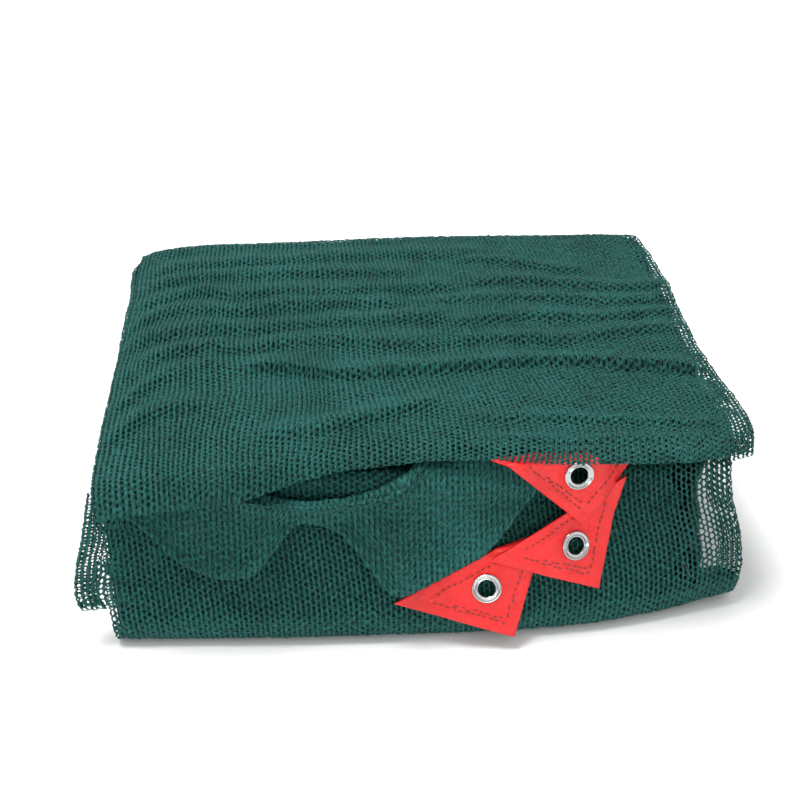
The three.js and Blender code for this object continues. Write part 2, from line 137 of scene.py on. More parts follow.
def light_world(scene):
    world = bpy.data.worlds.new("studio")
    world.use_nodes = True
    nodes, links = world.node_tree.nodes, world.node_tree.links
    place = nodes.new("ShaderNodeTexCoord")
    parts = nodes.new("ShaderNodeSeparateXYZ")
    rise = nodes.new("ShaderNodeMapRange")
    rise.inputs["From Min"].default_value = 0.0
    rise.inputs["From Max"].default_value = FULL_HEIGHT
    rise.inputs["To Min"].default_value = HORIZON
    rise.inputs["To Max"].default_value = ZENITH
    links.new(place.outputs["Generated"], parts.inputs["Vector"])
    links.new(parts.outputs["Z"], rise.inputs["Value"])
    links.new(rise.outputs["Result"], nodes["Background"].inputs["Strength"])
    nodes["Background"].inputs["Color"].default_value = (1, 1, 1, 1)
    scene.world = world


def light_scene():
    scene = bpy.context.scene
    scene.view_settings.view_transform = "Standard"
    light_world(scene)
    add_lamp("soft_sun", "SUN", SUN_PLACE, energy=SUN_STRENGTH, angle=math.radians(SUN_SOFTNESS))
    add_lamp("glint_lamp", "AREA", GLINT_PLACE, energy=GLINT_POWER, size=GLINT_SIZE)


add_floor()
light_scene()

# %% [markdown]
# ## Tables and soft steps
# The pack is uneven, so its sizes are short tables: a row for each place along the pack, and a column for
# each size. `read` looks a value up and rounds the corners between the rows, because cloth has none.

# %% Tables
def table(columns, *rows):
    return dict(zip(columns.split(), np.array(rows, float).T))


def read(rows, column, at, soft=9.0):
    at = np.asarray(at, float)
    key = next(iter(rows))
    weights = {-2: 1, -1: 4, 0: 6, 1: 4, 2: 1}
    total = sum(weight * np.interp(at + step * soft, rows[key], rows[column])
                for step, weight in weights.items())
    return total / sum(weights.values())


def mix(a, b, part):
    return a + (b - a) * part


def ease(part):
    part = np.clip(part, 0, 1)
    return part * part * (3 - 2 * part)


# %% [markdown]
# Cloth is never quite even. `hills` gives soft random hills of a chosen size, on a grid of 64 by 64 that
# repeats. A fixed seed makes them the same in every run.

# %% Random hills
HILL_SHIFT = 1000.5


def hills(x, y, size, seed):
    cells = 64
    heights = np.random.default_rng(seed).uniform(-1, 1, (cells, cells))
    x = np.asarray(x, float) / size + HILL_SHIFT
    y = np.asarray(y, float) / size + HILL_SHIFT
    i, j = np.floor(x).astype(int), np.floor(y).astype(int)
    across, up = ease(x - i), ease(y - j)
    low = mix(heights[i % cells, j % cells], heights[(i + 1) % cells, j % cells], across)
    high = mix(heights[i % cells, (j + 1) % cells], heights[(i + 1) % cells, (j + 1) % cells], across)
    return mix(low, high, up)


# %% [markdown]
# ## The shape of the pack
# These tables and sizes follow the imported model: 18 layers, a wrap that leans back up the front, a fold
# that hangs over it, and the top layer that ends in the lip. All are in millimetres. Numbers inside a
# formula below are heights and widths of soft forms.

# %% Sizes of the pack
LAYERS = 18
PITCH = 7.3
SHEET = 4.6
BEND = 10
FOOT = 0.5 * SHEET
HEAD_LAYER = 14
HEAD = FOOT + HEAD_LAYER * PITCH
TOP = FOOT + (LAYERS - 1) * PITCH
WIDTH = 460
WRAP_SKIN = 2.0
TOE_LIFT = 5
TOE_X, TOE_WIDE = 150, 80
TOE_Y, TOE_DEEP = -90, 60
TOE_FADE = TOP + 20

EDGE = table("layer left right",
             [0, -217, 218], [2, -220, 223], [5, -222, 222], [8, -223, 219], [11, -224, 214],
             [14, -228, 212], [15, -229, 216], [17, -230, 227])
FRONT = table("x foot lean",
              [-243, -178, 0.37], [-218, -180, 0.39], [-160, -184, 0.43], [-91, -187, 0.45],
              [-22, -188, 0.45], [40, -189, 0.46], [90, -187, 0.50], [119, -184, 0.49],
              [164, -174, 0.40], [200, -165, 0.32], [228, -159, 0.30])
FLAP = table("x hang",
             [-243, 8], [-212, 8], [-190, 30], [-168, 54], [-142, 65], [-120, 63], [-106, 46],
             [-90, 24], [-60, 34], [-27, 84], [5, 70], [40, 52], [72, 12], [104, -10], [150, -8],
             [228, -6])
LIP = table("x reach height",
            [-243, -160, 104], [-205, -166, 107], [-160, -169, 109], [-120, -165, 112],
            [-92, -157, 118], [-60, -150, 122], [5, -146, 125], [50, -153, 128], [87, -161, 128],
            [120, -162, 128], [150, -159, 125], [182, -156, 123], [203, -147, 121], [230, -126, 118])
ENDS = table("x height",
             [-243, 0.88], [-228, 0.90], [-200, 0.97], [-165, 1], [175, 1], [208, 0.98], [230, 0.93])


def across_pack(layer, part):
    left = read(EDGE, "left", layer, soft=0.4)
    right = read(EDGE, "right", layer, soft=0.4)
    return mix(left, right, part)


def settle(x, y, z):
    toe = TOE_LIFT * ease((x - TOE_X) / TOE_WIDE) * ease((TOE_Y - y) / TOE_DEEP)
    return toe * (1 - z / TOE_FADE) + z * read(ENDS, "height", x)


def stack(x, y, z):
    return np.stack(np.broadcast_arrays(x, y, settle(x, y, z)), axis=-1)


# %% [markdown]
# A path on the pack is a chain of straight runs and arcs. `walk` shares a distance out over the parts of
# the chain, so that each part can add its own piece of the way.

# %% Walking along a path
def walk(distance, lengths):
    parts = []
    start = np.zeros_like(np.asarray(distance, float))
    for number, length in enumerate(lengths):
        low = -np.inf if number == 0 else 0
        high = np.inf if number == len(lengths) - 1 else length
        parts.append(np.clip(distance - start, low, high))
        start = start + length
    return parts


# %% [markdown]
# The front wrap starts under the pack, turns round the foot, leans back up the front and turns again at
# its head. `on_front` gives the places on it that other folds hang from.

# %% The front wrap
def front_line(x):
    lean = read(FRONT, "lean", x)
    foot = read(FRONT, "foot", x) + 2
    slope = np.hypot(1, lean)
    head_y = foot + lean * (HEAD - 2 * BEND) + BEND * slope
    foot_y = foot + lean * FOOT + BEND * slope
    return lean, slope, head_y, foot_y


def on_front(x, along, off):
    lean, slope, head_y, _ = front_line(x)
    arc = 0.5 * math.pi - np.arctan(lean)
    angle = np.clip(along / BEND, 0, arc)
    rest = np.maximum(along - arc * BEND, 0)
    flat = np.minimum(along, 0)
    y = head_y - flat - (BEND + off) * np.sin(angle) - lean / slope * rest
    z = HEAD - BEND + (BEND + off) * np.cos(angle) - rest / slope
    return y, z


UNDER_RUN = 18
HEAD_RUN = 12
WALL_HEIGHT = HEAD - FOOT - 2 * BEND


def front_path(x, distance, off=WRAP_SKIN):
    lean, slope, head_y, foot_y = front_line(x)
    reach = BEND + off
    tip = np.arctan(lean)
    arc = 0.5 * math.pi - tip
    lengths = [UNDER_RUN, (0.5 * math.pi + tip) * reach, WALL_HEIGHT * slope, arc * reach, HEAD_RUN]
    under, foot, wall, head, flat = walk(distance, lengths)
    turn = foot / reach
    left = arc - head / reach
    y = foot_y + UNDER_RUN - under - reach * np.sin(turn) + lean / slope * wall
    z = FOOT + BEND - reach * np.cos(turn) + wall / slope
    y = y + reach * (np.sin(arc) - np.sin(left)) + flat
    z = z + reach * (np.cos(left) - np.cos(arc))
    return y, z


FRONT_LENGTH = 143

# %% [markdown]
# ## How the knit is made
# The net is a warp knit. Its threads run side by side and join and part again, so the holes stand in
# upright columns, and each column is half a hole higher than the next. It could be an image with holes,
# but the photo shows white through the loose edges and light on each thread, so the holes are real.
# Each hole is a cell with six corners. A cell's rim is a ring of six faces, high along the middle of
# the thread and lower at the hole. `knit` lays the cells in flat cloth coordinates, where u runs across
# the columns and v along them, and then carries every corner to its place on the pack. Each corner is
# moved a little at random, and each hole has a size of its own, because no loop is like the next.

# %% The knit
WALE = 3.8
COURSE = 4.2
RIDGE_LIFT = 0.65
JITTER = 0.24
WOBBLE = 0.34
JOIN = 0.3
HOLE_SIZES = (0.78, 1.12)


def surface_frame(place, u, v):
    step = 0.5
    point = place(u, v)
    across = place(u + step, v) - place(u - step, v)
    along = place(u, v + step) - place(u, v - step)
    normal = np.cross(across, along)
    size = np.linalg.norm(normal, axis=-1, keepdims=True)
    return point, normal / np.maximum(size, 1e-9)


def cell_corners(columns, rows):
    def index(c, r, k):
        return ((c + 1) * (rows + 2) + r) * 2 + k

    cells = []
    for c in range(columns):
        odd = c % 2
        r = np.arange(rows + odd)
        near = r + 1 - odd
        cells.append(np.stack([index(c, r, 0), index(c, r, 1), index(c + 1, near, 0),
                               index(c, r + 1, 1), index(c, r + 1, 0), index(c - 1, near, 1)], axis=1))
    return np.concatenate(cells)


def knit_flat(width, length, opening, rng, keep):
    columns = max(2, round(width / WALE))
    rows = max(2, round(length / COURSE))
    a, b = width / columns, length / rows
    c, r = np.meshgrid(np.arange(-1, columns + 1), np.arange(rows + 2), indexing="ij")
    middle = (c + 0.5) * a
    level = (r - 0.5 * (c % 2)) * b
    side = JOIN * a
    u = np.stack([middle - side, middle + side], axis=-1).reshape(-1)
    v = np.stack([level, level], axis=-1).reshape(-1)
    outer = np.stack([np.clip(u, 0, width), np.clip(v, 0, length)], axis=1)
    cells = cell_corners(columns, rows)
    if keep is not None:
        middles = outer[cells].mean(axis=1)
        cells = cells[keep(middles[:, 0], middles[:, 1])]
    outer = outer + rng.normal(0, WOBBLE, outer.shape)
    centre = outer[cells].mean(axis=1, keepdims=True)
    across, along = opening(centre[..., 0], centre[..., 1])
    share = np.stack(np.broadcast_arrays(across, along), axis=-1)
    share = share * rng.uniform(*HOLE_SIZES, (len(cells), 1, 2))
    inner = centre + share * (outer[cells] - centre)
    return outer, cells, inner.reshape(-1, 2)


def knit(place, width, length, opening, seed, lift=RIDGE_LIFT, keep=None):
    rng = np.random.default_rng(seed)
    outer, cells, inner = knit_flat(width, length, opening, rng, keep)
    flat = np.concatenate([outer, inner])
    rise = np.concatenate([np.full(len(outer), lift), np.zeros(len(inner))])
    rise = rise + rng.normal(0, JITTER, len(flat))
    point, normal = surface_frame(place, flat[:, 0], flat[:, 1])
    point = point + normal * rise[:, None]
    rim = len(outer) + np.arange(len(cells) * 6).reshape(-1, 6)
    following = np.roll(range(6), -1)
    quads = np.stack([cells, cells[:, following], rim[:, following], rim], axis=-1).reshape(-1, 4)
    return point, quads, flat / [WALE, COURSE]


# %% [markdown]
# The holes are wider where the cloth is pulled flat and narrower where it is bunched up. `openness` makes
# such a rule: how much of each cell is hole, across the columns and along them.

# %% How open the knit is
def openness(across, along, change=0.1, size=24, seed=1):
    def at(u, v):
        vary = 1 + change * (hills(u, v, size, seed) + 0.5 * hills(u, v, 0.3 * size, seed + 1))
        return np.clip(across * vary, 0.1, 0.85), np.clip(along * vary, 0.1, 0.9)
    return at


# %% [markdown]
# Under the first ply lie more of them, out of reach of the light. One plain sheet a little deeper than the
# knit stands for them, and its colour is painted dark as painted shade. Its holes are painted shade in its
# material, and its pattern is finer than the knit's, as several plies look when their holes don't meet.

# %% The plies under the knit
PLY_SHIFT = 1.37


def ply(place, width, length, depth, steps, insets=(0, 0, 0, 0), keep=None):
    left, right, low, high = insets
    columns = max(2, round((width - left - right) / steps[0]))
    rows = max(2, round((length - low - high) / steps[1]))
    u, v = np.meshgrid(np.linspace(left, width - right, columns + 1),
                       np.linspace(low, length - high, rows + 1), indexing="ij")
    u, v = u.ravel(), v.ravel()
    point, normal = surface_frame(place, u, v)
    number = np.arange(len(u)).reshape(columns + 1, rows + 1)
    quads = np.stack([number[:-1, :-1], number[1:, :-1], number[1:, 1:], number[:-1, 1:]], axis=-1)
    quads = quads.reshape(-1, 4)
    if keep is not None:
        quads = quads[keep(u[quads].mean(axis=1), v[quads].mean(axis=1))]
    weave = np.stack([u / WALE, v / COURSE], axis=1) * PLY_SHIFT
    return point - normal * depth, quads, weave


# %% [markdown]
# A mesh is points and faces, and each woven one also has a map of where its points lie in the weave.
# `add_mesh` makes one and lets it ride on the model. `add_cloth` leaves out the points that no face uses.


def add_mesh(name, points, faces, material, weave=None):
    mesh = bpy.data.meshes.new(name)
    mesh.from_pydata(to_frame(points), [], faces)
    if weave is not None:
        corner = np.empty(len(mesh.loops), int)
        mesh.loops.foreach_get("vertex_index", corner)
        mesh.uv_layers.new(name="weave").data.foreach_set("uv", weave[corner].ravel())
    mesh.shade_smooth()
    mesh.materials.append(material)
    piece = bpy.data.objects.new(name, mesh)
    bpy.context.scene.collection.objects.link(piece)
    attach(piece, "root")
    print(f"{name}: {sum(len(face) - 2 for face in faces)} triangles")
    return piece


def add_cloth(name, cloth, material):
    points, quads, weave = cloth
    used, quads = np.unique(quads, return_inverse=True)
    piece = add_mesh(name, points[used], quads.reshape(-1, 4), material, weave[used])
    return piece


# %% [markdown]
# ## Materials
# Each material is a few nodes. These helpers add a node, set its sockets and join it to the next one, so
# that each recipe below stays short.

# %% Node helpers
def new_material(name, **sockets):
    made = bpy.data.materials.new(name)
    made.use_nodes = True
    tree = made.node_tree
    shader = tree.nodes["Principled BSDF"]
    for socket, value in sockets.items():
        shader.inputs[socket.replace("_", " ")].default_value = value
    return made, tree, shader


def add(tree, kind, inputs=None, **settings):
    node = tree.nodes.new(kind)
    for key, value in settings.items():
        setattr(node, key, value)
    for key, value in (inputs or {}).items():
        if isinstance(value, bpy.types.NodeSocket):
            tree.links.new(value, node.inputs[key])
        else:
            node.inputs[key].default_value = value
    return node


def object_noise(tree, scale, detail=2):
    place = add(tree, "ShaderNodeTexCoord")
    noise = add(tree, "ShaderNodeTexNoise",
                {"Vector": place.outputs["Object"], "Scale": scale, "Detail": detail})
    return noise.outputs["Fac"]


def math_node(tree, operation, *values):
    return add(tree, "ShaderNodeMath", dict(enumerate(values)), operation=operation).outputs[0]


def spread(tree, value, low, high, start=0.0, end=1.0):
    node = add(tree, "ShaderNodeMapRange",
               {"Value": value, "From Min": low, "From Max": high, "To Min": start, "To Max": end})
    return node.outputs["Result"]


def blend_colours(tree, factor, first, second):
    node = add(tree, "ShaderNodeMix", data_type="RGBA")
    tree.links.new(factor, node.inputs["Factor"])
    for socket, value in (("A", first), ("B", second)):
        target = next(s for s in node.inputs if s.name == socket and s.type == "RGBA")
        if isinstance(value, bpy.types.NodeSocket):
            tree.links.new(value, target)
        else:
            target.default_value = (*value, 1)
    return next(s for s in node.outputs if s.type == "RGBA")


# %% [markdown]
# The thread is dark green polyethylene with a dull shine. Upright chains of loops, the wales, run between
# the columns of holes. Their colour is painted lighter, as a painted highlight where they catch the light,
# and the short ties across, which are lower, are painted darker as painted shade. Streaks along the wales
# stand for the single strands, and broad noise lets the colour vary over the cloth.

# %% Thread
THREAD_DEEP = (0.0030, 0.026, 0.020)
THREAD_LIGHT = (0.0225, 0.166, 0.146)
# The chain share paints the wales lighter as a painted highlight and the ties darker as painted shade.
CHAIN_HIGHLIGHT_SHARE = 0.16
STRAND_SHARE = 0.62
BROAD_SHARE = 0.45


def weave_waves(tree):
    weave = add(tree, "ShaderNodeUVMap", uv_map="weave")
    parts = add(tree, "ShaderNodeSeparateXYZ", {"Vector": weave.outputs["UV"]})
    chain = math_node(tree, "COSINE", math_node(tree, "MULTIPLY", parts.outputs["X"], 2 * math.pi))
    across = math_node(tree, "COSINE", math_node(tree, "MULTIPLY", parts.outputs["X"], math.pi))
    along = math_node(tree, "COSINE", math_node(tree, "MULTIPLY", parts.outputs["Y"], 2 * math.pi))
    return weave, chain, math_node(tree, "MULTIPLY", across, along)


def streaks(tree, weave, scale, stretch):
    turn = add(tree, "ShaderNodeMapping", {"Vector": weave.outputs["UV"], "Scale": (scale, stretch, 1)})
    noise = add(tree, "ShaderNodeTexNoise", {"Vector": turn.outputs["Vector"], "Scale": 1.0, "Detail": 3})
    return noise.outputs["Fac"]


def thread_material():
    made, tree, shader = new_material("green_thread", Roughness=0.55, Specular_IOR_Level=0.22)
    weave, chain, _ = weave_waves(tree)
    broad = object_noise(tree, 16)
    fine = streaks(tree, weave, 2.3, 1.5)
    strands = spread(tree, fine, 0.36, 0.64)
    # The chain part is painted highlight and painted shade; the strands and broad parts are the thread's
    # own tone.
    parts = [math_node(tree, "MULTIPLY", value, share)
             for value, share in ((chain, CHAIN_HIGHLIGHT_SHARE), (strands, STRAND_SHARE), (broad, BROAD_SHARE))]
    both = math_node(tree, "ADD", math_node(tree, "ADD", parts[0], parts[1]), parts[2])
    colour = blend_colours(tree, spread(tree, both, 0.12, 0.98), THREAD_DEEP, THREAD_LIGHT)
    tree.links.new(colour, shader.inputs["Base Color"])
    height = math_node(tree, "ADD", math_node(tree, "MULTIPLY", chain, 0.35), strands)
    bump = add(tree, "ShaderNodeBump", {"Height": height, "Strength": 0.9, "Distance": 0.0009})
    tree.links.new(bump.outputs["Normal"], shader.inputs["Normal"])
    return made


thread = thread_material()

# %% [markdown]
# For the plies below, a product of two cosines is high at each hole's middle and low along the threads.
# It paints shade into the holes and gives the threads some height. The plies' thread is a darker, shaded
# copy of the knit's thread. Broad noise paints them lighter in some places, as if the plies lay close, and
# paints shade in others, where they lie far down and the gaps look black.

# %% Ply material
# Painted shade: the plies' thread is a darkened copy of the knit's, and the holes are painted near black.
PLY_THREAD_SHADED = (0.0100, 0.078, 0.064)
PLY_HOLE_SHADE = (0.0014, 0.010, 0.008)


def ply_material():
    made, tree, shader = new_material("green_ply_painted_shade", Roughness=0.7, Specular_IOR_Level=0.15)
    weave, _, wave = weave_waves(tree)
    # Broad noise that paints shade by depth: lighter where the plies seem close, darker where far down.
    close = object_noise(tree, 30)
    fine = streaks(tree, weave, 5.0, 3.0)
    ways = math_node(tree, "ADD", math_node(tree, "ADD", wave, close), fine)
    # The holes are blended towards the near-black colour as painted shade.
    colour = blend_colours(tree, spread(tree, ways, 0.5, 1.5), PLY_THREAD_SHADED, PLY_HOLE_SHADE)
    tree.links.new(colour, shader.inputs["Base Color"])
    bump = add(tree, "ShaderNodeBump",
               {"Height": spread(tree, wave, 0.6, -0.6), "Strength": 0.8, "Distance": 0.0006})
    tree.links.new(bump.outputs["Normal"], shader.inputs["Normal"])
    return made


under_ply = ply_material()

# %% [markdown]
# ## The top of the pack
# The top layer runs from the lip at the front to the fold at the back. Soft ridges lie across it where the
# cloth is a little too long for the pack. Each ridge is a listed line, steep in front and gentle behind,
# which catches the light along its crest.

# %% Ridges of the top
CREASES = [
    # height, front width, back width, points (x, y) from left to right
    (2.2, 7, 12, [(-215, 141), (-158, 141), (-122, 145), (-88, 144), (-43, 151), (22, 149), (80, 150)]),
    (1.6, 4, 9, [(31, 132), (64, 135), (95, 128), (128, 113), (160, 112)]),
    (2.2, 6, 12, [(-215, 116), (-164, 119), (-97, 118), (-45, 117), (20, 112)]),
    (2.0, 4, 9, [(40, 92), (65, 96), (100, 97), (132, 88), (161, 82), (189, 83), (222, 87)]),
    (2.4, 6, 12, [(-225, 84), (-192, 88), (-163, 96), (-131, 81), (-101, 89), (-62, 87), (17, 89),
                  (50, 84)]),
    (2.0, 4, 9, [(10, 66), (44, 65), (69, 67), (96, 67), (124, 64), (152, 57), (182, 58), (222, 72)]),
    (2.4, 6, 12, [(-228, 46), (-190, 65), (-161, 63), (-131, 56), (-97, 67), (-46, 67), (5, 62)]),
    (2.2, 4, 9, [(20, 30), (51, 33), (92, 38), (123, 35), (137, 31), (170, 35), (222, 46)]),
    (2.4, 6, 12, [(-228, 24), (-154, 36), (-122, 29), (-97, 35), (-56, 34), (13, 40), (40, 36)]),
    (2.0, 4, 9, [(20, 4), (55, 5), (87, 6), (111, 1), (140, 7), (158, 11), (188, 16), (222, 20)]),
    (2.4, 6, 12, [(-215, -6), (-172, 4), (-152, 8), (-129, -2), (-103, 7), (-72, 11), (-32, 5), (30, 0)]),
    (3.4, 3.5, 14, [(-140, -27), (-97, -29), (-65, -40), (-34, -41), (17, -37), (51, -33), (82, -32),
                    (113, -33), (166, -40), (222, -48)]),
    (2.2, 6, 10, [(-228, -64), (-212, -57), (-197, -38), (-180, -28), (-165, -26)]),
    (2.4, 7, 12, [(-230, -108), (-221, -104), (-188, -76), (-165, -74), (-140, -80)]),
    (2.6, 6, 14, [(-120, -118), (-82, -115), (-52, -104), (-21, -91), (5, -83), (25, -84)]),
    (1.4, 3, 7, [(20, -104), (38, -105), (93, -111), (183, -119), (215, -116)]),
    (1.2, 3, 6, [(20, -128), (36, -130), (89, -138), (178, -139), (210, -134)]),
]
FADE = 26
CREASE_SCALE = 2.0


def creases_at(x, y, wander=0.0):
    """Each crease with its fade towards its ends, and how far a place lies behind its crest."""
    for height, front, back, points in CREASES:
        px, py = np.array(points, float).T
        middle = read({"x": px, "y": py}, "y", x, soft=5) + wander
        fade = ease((x - px[0]) / FADE) * ease((px[-1] - x) / FADE)
        yield height, front, back, fade, y - middle


def crease_rise(x, y):
    rise = np.zeros(np.broadcast(x, y).shape)
    for height, front, back, fade, away in creases_at(x, y, 1.2 * hills(x, y, 22, 5)):
        width = np.where(away < 0, front, back)
        rise = rise + height * fade * np.exp(-(away / width) ** 2)
    return rise


def top_bumps(x, y):
    broad = 1.6 * hills(x * 0.45, y, 34, 1) + 0.9 * hills(x * 0.6, y, 14, 2)
    upright = 1.8 * np.exp(-((x - 17 + 0.05 * y) / 5) ** 2) * ease((-80 - y) / 20) * ease((y + 165) / 20)
    return CREASE_SCALE * crease_rise(x, y) + broad + upright


# %% [markdown]
# The lip is the same layer, bent down over the front. Near it the layer rises over the upper patch.

# %% The path of the top layer
LIP_BEND = 15
LIP_FLARE = 2.4
TOP_SKIN = 1.7
BACK_TURN = 6.2
BACK_LINE = 177
SIDE_TURN = 2.0
SIDE_RETURN = 22
TOP_LENGTH = 362


def back_edge(x):
    wave = 2.2 * np.sin((x + 960) / 150 * math.pi)
    near_left = np.maximum(0, -205 - x) / 26
    near_right = np.maximum(0, x - 196) / 26
    return BACK_LINE + wave - 7 * near_left ** 2 - 14 * near_right ** 2


def lip_rise(x, y):
    over = 2.3 * np.exp(-(((x - 98) / 76) ** 2))
    return (1.1 + over) * ease((-30 - y) / 90)


def top_height(x, y):
    quiet = ease((back_edge(x) - y) / 12) * ease((y - read(LIP, "reach", x) - 4) / 16)
    return TOP + TOP_SKIN + lip_rise(x, y) + top_bumps(x, y) * quiet


def top_path(x, distance):
    reach = read(LIP, "reach", x)
    height = read(LIP, "height", x)
    start_z = TOP + TOP_SKIN + lip_rise(x, reach + LIP_BEND)
    drop = np.maximum(start_z - height, 1)
    lip_length = LIP_BEND + 0.75 * drop
    run_length = back_edge(x) - reach - LIP_BEND
    whole = lip_length + run_length + math.pi * BACK_TURN
    lip, run, fold = walk(distance / TOP_LENGTH * whole, [lip_length, run_length, math.pi * BACK_TURN])
    part = 1 - lip / lip_length
    knee = 2 * part * (1 - part)
    y = (1 - part) ** 2 * (reach + LIP_BEND) + knee * (reach + 1) + part ** 2 * (reach - 0.6) + run
    bent_z = (1 - part) ** 2 * start_z + knee * start_z + part ** 2 * height
    flat_z = top_height(x, y)
    turn = fold / BACK_TURN
    y = y + BACK_TURN * np.sin(turn)
    z = np.where(distance / TOP_LENGTH * whole < lip_length, bent_z, flat_z)
    return y, z - BACK_TURN * (1 - np.cos(turn))


def side_loop(u, turn, left=True, right=True):
    """How far a loose side goes round: the place across, and the steps out and down."""
    inner = np.clip(u, 0, WIDTH)
    past = np.maximum(u - WIDTH, 0) if right else np.zeros_like(u)
    before = np.maximum(-u, 0) if left else np.zeros_like(u)
    beyond = past + before
    angle = np.minimum(beyond / turn, math.pi)
    out = turn * np.sin(angle) - np.maximum(beyond - math.pi * turn, 0)
    down = turn * (1 - np.cos(angle))
    return inner, out * np.where(past > 0, 1, -1), down


# %% [markdown]
# At the right the top layer hangs past the pack with nothing under it, so white shows through. Its sides
# aren't straight: they follow the pack where it was pressed. The cloth is stretched in front of each
# ridge, where its holes open, and bunched on the crest, where they close.

# %% Make the top
TOP_SIDES = table("y left right",
                  [-150, -225, 223], [-120, -226, 228], [-76, -226, 224], [-11, -225, 213],
                  [50, -222, 211], [99, -220, 212], [140, -221, 208], [176, -218, 199])
SHEER_SIDE = 12
RED_ZONE = (14, 112)
RED_REACH = 17


def top_place(u, v):
    inner, out, down = side_loop(u, SIDE_TURN, left=False)
    depth = -150 + v * 330 / TOP_LENGTH
    left = read(TOP_SIDES, "left", depth)
    right = read(TOP_SIDES, "right", depth)
    free = ease(inner / 30) * ease((WIDTH - inner) / 30)
    drift = free * (3.2 * hills(inner, v, 75, 13) + 1.6 * hills(inner, v, 26, 14))
    lag = ease(v / 30) * ease((TOP_LENGTH - v) / 40)
    v = v + lag * (3.0 * hills(inner, v, 65, 15) + 1.4 * hills(inner, v, 24, 16))
    x = mix(left, right, inner / WIDTH) + out + drift
    y, z = top_path(x, v)
    return stack(x, y - LIP_FLARE * np.exp(-v / 5), z - down)


def stretch(x, y):
    pull = np.zeros(np.broadcast(x, y).shape)
    for height, front, _, fade, away in creases_at(x, y):
        pull = pull + fade * height / 2.2 * np.exp(-((away + 1.6 * front) / front) ** 2)
        pull = pull - fade * 0.8 * np.exp(-((away - 1) / 4) ** 2)
    return pull


# x, y, half width, half depth
DARK_PATCHES = [(-188, 14, 12, 8), (-205, -22, 22, 7), (-150, -26, 16, 8), (-172, -2, 14, 5)]


def top_open(u, v):
    point = top_place(u, v)
    x, y = point[..., 0], point[..., 1]
    dark = stretch(x, y)
    for middle_x, middle_y, wide, deep in DARK_PATCHES:
        dark = dark + 1.4 * np.exp(-((x - middle_x) / wide) ** 2 - ((y - middle_y) / deep) ** 2)
    at_patches = (x > RED_ZONE[0]) & (x < RED_ZONE[1])
    sheer = ease((u - WIDTH + 16) / 6) + ease((RED_REACH - v) / 5) * at_patches
    vary = 1 + 0.30 * dark + 0.16 * hills(u, v, 26, 11) + 0.14 * hills(u, v, 9, 12) + 0.3 * sheer
    return np.clip(0.36 * vary, 0.08, 0.66), np.clip(0.58 * vary, 0.12, 0.84)


def under_top(u, v):
    point = top_place(u, v)
    near_lip = v < RED_REACH
    red = (point[:, 0] > RED_ZONE[0]) & (point[:, 0] < RED_ZONE[1])
    ragged = u > WIDTH - SHEER_SIDE - 5 + 7 * hills(u, v, 13, 17)
    return ~(near_lip & red) & ~ragged


def make_top():
    span = WIDTH + math.pi * SIDE_TURN + SIDE_RETURN
    first = knit(top_place, span, TOP_LENGTH, top_open, 21)
    piece = add_cloth("net_top", first, thread)
    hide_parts("net")
    below = ply(top_place, WIDTH, TOP_LENGTH, 1.5, (5, 3.5), (0.3, SHEER_SIDE, 2, 0), under_top)
    add_cloth("net_top_under", below, under_ply)


make_top()

# %% [markdown]
# ## The front of the pack
# The lowest layer turns up at the front and wraps it. At its right end it goes round in a loose loop, where
# it is sheer too. Along the foot it is drawn tight round the fold, so its holes close to flat slits.

# %% Make the front
FRONT_TURN = 4.5
FRONT_RETURN = 12
FOOT_BAND = 18


def front_layer(v):
    return mix(0, HEAD_LAYER, ease((v - UNDER_RUN) / (FRONT_LENGTH - UNDER_RUN - HEAD_RUN)))


def front_place(u, v):
    inner, out, down = side_loop(u, FRONT_TURN, left=False)
    x = across_pack(front_layer(v), inner / WIDTH * (1 - FRONT_TURN / WIDTH)) + out
    swell = 1.2 * hills(x, v, 60, 31) + 0.6 * hills(x, v * 0.7, 22, 32) + 0.4 * hills(x, v * 0.3, 8, 35)
    _, slope, _, _ = front_line(x)
    total = UNDER_RUN + HEAD_RUN + WALL_HEIGHT * slope + math.pi * (BEND + WRAP_SKIN)
    y, z = front_path(x, v / FRONT_LENGTH * total, WRAP_SKIN)
    quiet = ease((v - UNDER_RUN - 6) / 20)
    return stack(x, y - swell * quiet + down, np.maximum(z, 0.25))


def front_open(u, v):
    foot = ease((UNDER_RUN + 10 + FOOT_BAND - v) / 8)
    sheer = ease((u - WIDTH + 44 + 9 * hills(u, v, 22, 39)) / 12)
    vary = 1 + 0.12 * hills(u, v, 24, 33) + 0.12 * hills(u, v, 8, 36)
    across = mix(mix(0.52, 0.60, sheer), 0.46, foot)
    along = mix(mix(0.73, 0.82, sheer), 0.26, foot)
    return np.clip(across * vary, 0.1, 0.8), np.clip(along * vary, 0.1, 0.85)


def behind_front(u, v):
    return u < WIDTH - 40 + 9 * hills(u, v, 16, 37) + 4 * hills(u, v, 6, 38)


def make_front():
    span = WIDTH + math.pi * FRONT_TURN + FRONT_RETURN
    first = knit(front_place, span, FRONT_LENGTH, front_open, 34)
    add_cloth("net_front", first, thread)
    below = ply(front_place, WIDTH, FRONT_LENGTH, 1.5, (4, 4), (5, 22, 0, 0), behind_front)
    add_cloth("net_front_under", below, under_ply)


make_front()

# %% [markdown]
# ## The folded sides and back
# The layers end in soft rims at the sides and in wider folds at the back. One path in plan goes along a
# side, round a corner and along the back. Its height is shared out over rims at the sides and over folds
# at the back, and at the corners one turns into the other.

# %% Sides and back
RIMS = 18
FOLDS = 9
CORNER = 15
CORNER_RUN = 0.5 * math.pi * CORNER
FOLD_TOP = TOP + 0.6
SIDE_LENGTH = 352
BACK_LENGTH = 396
FOLD_LENGTH = 214
BASE_SIZE = (400, 346)
SIDE_LINE = table("z left right",
                  [0, -207, 194], [30, -208, 191], [60, -208, 188], [90, -209, 189],
                  [110, -214, 199], [118, -220, 201], [134, -222, 202])
BACK_DEPTH = [172, 177, 173, 179, 175, 180, 176, 172, 176]


